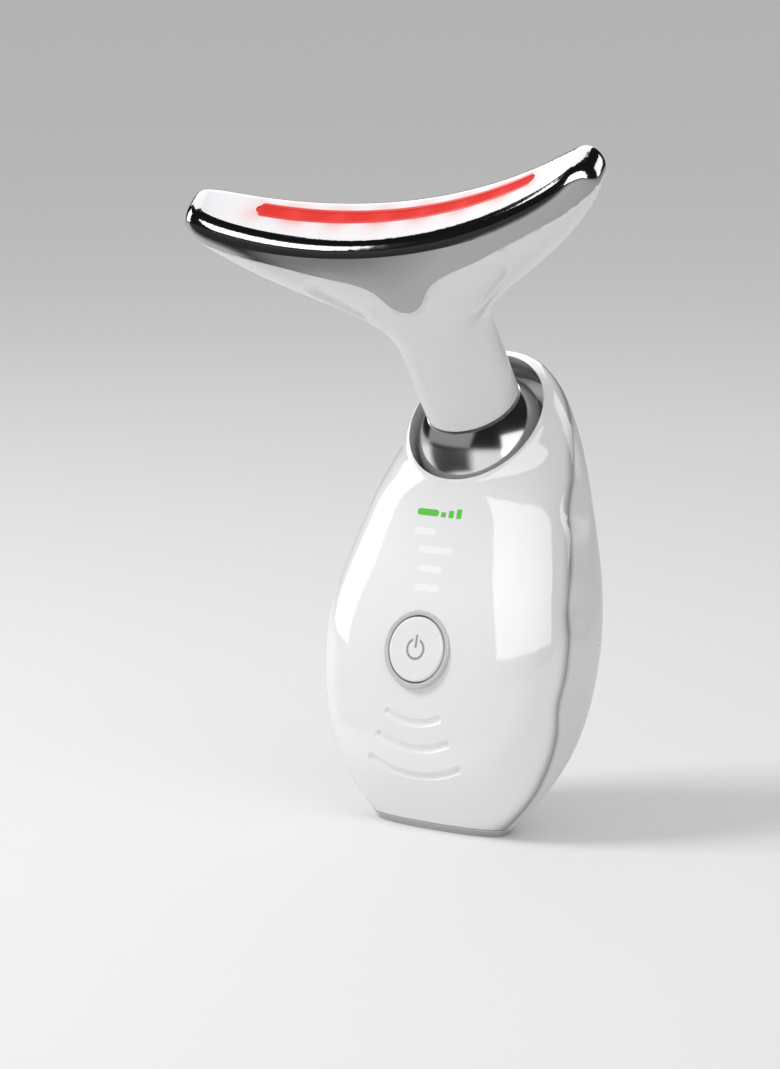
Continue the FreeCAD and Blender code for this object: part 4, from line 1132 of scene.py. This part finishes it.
@dataclass
class Electronics:
    """Boards, battery and charging socket inside the handle."""

    contact_count: int = 6
    contact_pitch: float = 0.0009
    contact_width: float = 0.00045
    tongue_face: float = 0.00035
    contact_height: float = 0.00006
    contact_low: float = 0.0016
    contact_high: float = 0.0058
    contact_bevel: float = 0.000018
    finishes: Dict[str, Finish] = field(default_factory=lambda: {
        "handle_wires": SLEEVE_RED, "control_board": BOARD_GREEN, "board_screws": PIECE_STEEL,
        "control_chip": INNER_BLACK, "power_inductor": INNER_BLACK, "board_capacitors": FILM_AMBER,
        "indicator_lamps": LAMP_WHITE, "light_guide": GUIDE_CLEAR, "battery_pad": PAD_FOAM,
        "battery_cell": CELL_FOIL, "battery_leads": SLEEVE_RED, "charging_socket": PIECE_STEEL,
        "charging_board": BOARD_GREEN,
    })

    def contacts(self) -> bpy.types.Object:
        """Plated contacts on both faces of the socket's tongue."""
        boxes: List[Tuple[Triple, Triple]] = []
        for side in (-1, 1):
            near, far = sorted((side * self.tongue_face, side * (self.tongue_face + self.contact_height)))
            for index in range(self.contact_count):
                x = (index - (self.contact_count - 1) / 2) * self.contact_pitch
                half = self.contact_width / 2
                boxes.append(((x - half, near, self.contact_low), (x + half, far, self.contact_high)))
        return block_piece("socket_contacts", boxes, self.contact_bevel)

    def build(self) -> None:
        """Dresses the inner pieces and adds the contacts."""
        dress(self.finishes)
        contacts = self.contacts()
        give(contacts, CONTACT_GOLD)
        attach(contacts, "handle")
        LOG.info("added %s", contacts.name)


def pointing(azimuth_deg: float, elevation_deg: float) -> Vector:
    """A direction seen from the object.

    Args:
        azimuth_deg: Angle from the front towards +X.
        elevation_deg: Angle above the floor.

    Returns:
        The unit vector.
    """
    a, e = math.radians(azimuth_deg), math.radians(elevation_deg)
    return Vector((math.sin(a) * math.cos(e), -math.cos(a) * math.cos(e), math.sin(e)))


class Reach(Enum):
    """What a lamp lights."""

    ALL = "all"
    BALL = "ball"
    NECK = "neck"
    REST = "rest"


@dataclass
class Lamp:
    """A soft rectangular lamp that looks at the object."""

    name: str
    azimuth_deg: float
    elevation_deg: float
    distance: float
    width: float
    height: float
    radiance: float
    diffuse: bool = True
    glossy: bool = True
    reach: Reach = Reach.ALL

    def build(self, target: Vector, groups: Dict[Reach, bpy.types.Collection]) -> None:
        """Adds the lamp.

        Args:
            target: The point it looks at.
            groups: The pieces that each limited reach lights.
        """
        data = bpy.data.lights.new(self.name, "AREA")
        data.shape = "RECTANGLE"
        data.size, data.size_y = self.width, self.height
        data.energy = self.radiance * math.pi * self.width * self.height
        lamp = bpy.data.objects.new(self.name, data)
        back = pointing(self.azimuth_deg, self.elevation_deg)
        lamp.location = target + back * self.distance
        lamp.rotation_euler = back.to_track_quat("Z", "Y").to_euler()
        lamp.visible_camera = False
        lamp.visible_diffuse = self.diffuse
        lamp.visible_glossy = self.glossy
        if self.reach in groups:
            lamp.light_linking.receiver_collection = groups[self.reach]
        bpy.context.scene.collection.objects.link(lamp)
        LOG.info("added lamp %s", self.name)


@dataclass
class Studio:
    """Pale floor, soft lamps and a dim room."""

    ball_name: str = "ball_cover"
    neck_name: str = "hollowed_shell"
    floor_radius: float = 9.0
    floor_sides: int = 96
    floor_fade_mm: Tuple[float, float] = (250.0, 1500.0)
    floor_dark: Colour = (0.02, 0.02, 0.02)
    floor_near: Colour = (0.84, 0.84, 0.835)
    floor_far: Colour = (0.86, 0.86, 0.855)
    dark_azimuth_deg: float = -36.0
    dark_sector: Tuple[float, float] = (0.62, 0.86)
    dark_from_mm: Tuple[float, float] = (85.0, 115.0)
    room_light: float = 0.58
    room_dark: float = 0.015
    target: Vector = field(default_factory=lambda: Vector((0.0, 0.0, 0.085)))
    lamps: Tuple[Lamp, ...] = (
        Lamp("key_lamp", -48.0, 46.0, 0.9, 0.34, 0.34, 12.0, True, False),
        Lamp("fill_lamp", 70.0, 35.0, 1.1, 0.8, 0.8, 0.6, True, False),
        Lamp("left_softbox", -76.0, 18.0, 0.9, 0.50, 0.66, 3.2, False, True, Reach.REST),
        Lamp("right_softbox", 38.0, 27.0, 1.1, 2.3, 0.80, 3.2, False, True, Reach.REST),
        Lamp("back_softbox", -138.0, 48.0, 0.9, 0.85, 0.95, 2.2, False, True),
        Lamp("ball_side_card", 86.0, 4.0, 0.30, 0.32, 0.20, 1.25, False, True, Reach.BALL),
        Lamp("ball_front_card", -40.0, 20.0, 0.80, 1.60, 0.62, 0.28, False, True, Reach.BALL),
        Lamp("ball_back_card", 175.0, 26.0, 0.60, 0.60, 0.30, 1.6, False, True, Reach.BALL),
        Lamp("neck_card", 100.0, 4.0, 0.80, 0.45, 0.60, 14.0, False, True, Reach.NECK),
        Lamp("rear_softbox", 150.0, 20.0, 1.0, 0.35, 0.5, 2.2, False, True),
    )

    def floor(self) -> bpy.types.Object:
        """A round pale floor that one sector of reflections sees dark."""
        mesh = bmesh.new()
        bmesh.ops.create_circle(mesh, cap_ends=True, segments=self.floor_sides, radius=self.floor_radius)
        floor = mesh_piece("floor", mesh)
        material = bpy.data.materials.new("floor_pale")
        material.use_nodes = True
        nodes = NodeSet(material.node_tree)
        point = nodes.place(Space.ROW)
        x, y, _ = nodes.axes(point)
        reach = (x * x + y * y).root()
        pale = nodes.mix(reach.step(*self.floor_fade_mm), self.floor_near, self.floor_far)
        a = math.radians(self.dark_azimuth_deg)
        facing = (x * math.sin(a) - y * math.cos(a)) / reach.most(1.0)
        seen = Sock(nodes, nodes.add("ShaderNodeLightPath").outputs["Is Glossy Ray"])
        dark = seen * facing.step(*self.dark_sector) * reach.step(*self.dark_from_mm)
        nodes.surface({"Base Color": nodes.mix(dark, pale, self.floor_dark), "Roughness": 0.85})
        floor.data.materials.append(material)
        return floor

    def room(self) -> None:
        """A dim room that fills the shadows and stays dark in reflections."""
        world = bpy.data.worlds.new("room")
        bpy.context.scene.world = world
        world.use_nodes = True
        nodes = NodeSet(world.node_tree)
        path = nodes.add("ShaderNodeLightPath")
        glossy = Sock(nodes, path.outputs["Is Glossy Ray"])
        strength = self.room_light - glossy * (self.room_light - self.room_dark)
        shade = nodes.add("ShaderNodeBackground", inputs={"Color": (1.0, 1.0, 1.0), "Strength": strength})
        nodes.add("ShaderNodeOutputWorld", inputs={"Surface": shade.outputs[0]})

    def groups(self) -> Dict[Reach, bpy.types.Collection]:
        """Light groups: the ball, the neck, and everything but the ball."""
        limited = (Reach.BALL, Reach.NECK, Reach.REST)
        groups = {reach: bpy.data.collections.new(f"lit_{reach.value}") for reach in limited}
        for piece in bpy.context.scene.objects:
            if piece.type == "MESH":
                groups[Reach.BALL if piece.name == self.ball_name else Reach.REST].objects.link(piece)
        groups[Reach.NECK].objects.link(bpy.data.objects[self.neck_name])
        return groups

    def build(self) -> None:
        """Adds floor, room and lamps."""
        self.floor()
        self.room()
        groups = self.groups()
        for lamp in self.lamps:
            lamp.build(self.target, groups)


@dataclass
class PhotoCamera:
    """The camera at the photograph's viewing angle."""

    azimuth_deg: float = 36.20
    elevation_deg: float = 9.67
    roll_deg: float = -0.15
    distance: float = 0.85
    aim: Triple = (-0.01593, 0.00160, 0.06283)
    pixels_per_mm: float = 4.55
    image_long_side: float = 1069.0
    sensor_mm: float = 36.0
    clip: Tuple[float, float] = (0.01, 50.0)

    def build(self) -> None:
        """Adds the camera."""
        data = bpy.data.cameras.new("camera")
        data.sensor_width = self.sensor_mm
        data.lens = self.pixels_per_mm * self.distance / MM / self.image_long_side * self.sensor_mm
        data.clip_start, data.clip_end = self.clip
        camera = bpy.data.objects.new("camera", data)
        back = pointing(self.azimuth_deg, self.elevation_deg)
        a = math.radians(self.azimuth_deg)
        right = Vector((math.cos(a), math.sin(a), 0.0))
        up = back.cross(right)
        roll = Matrix.Rotation(math.radians(self.roll_deg), 3, back)
        turn = Matrix((roll @ right, roll @ up, back)).transposed().to_4x4()
        camera.matrix_world = Matrix.Translation(Vector(self.aim) + back * self.distance) @ turn
        bpy.context.scene.collection.objects.link(camera)
        bpy.context.scene.camera = camera
        LOG.info("added the camera")


def main() -> None:
    """Builds camera, object and studio in order."""
    logging.basicConfig(level=logging.INFO, format="%(name)s: %(message)s")
    bpy.context.scene.view_settings.view_transform = "Standard"
    PhotoCamera().build()
    for unit in (Handle(), PowerButton(), BallJoint(), MassageHead(), Electronics()):
        unit.build()
    Studio().build()


if __name__ == "__main__":
    main()
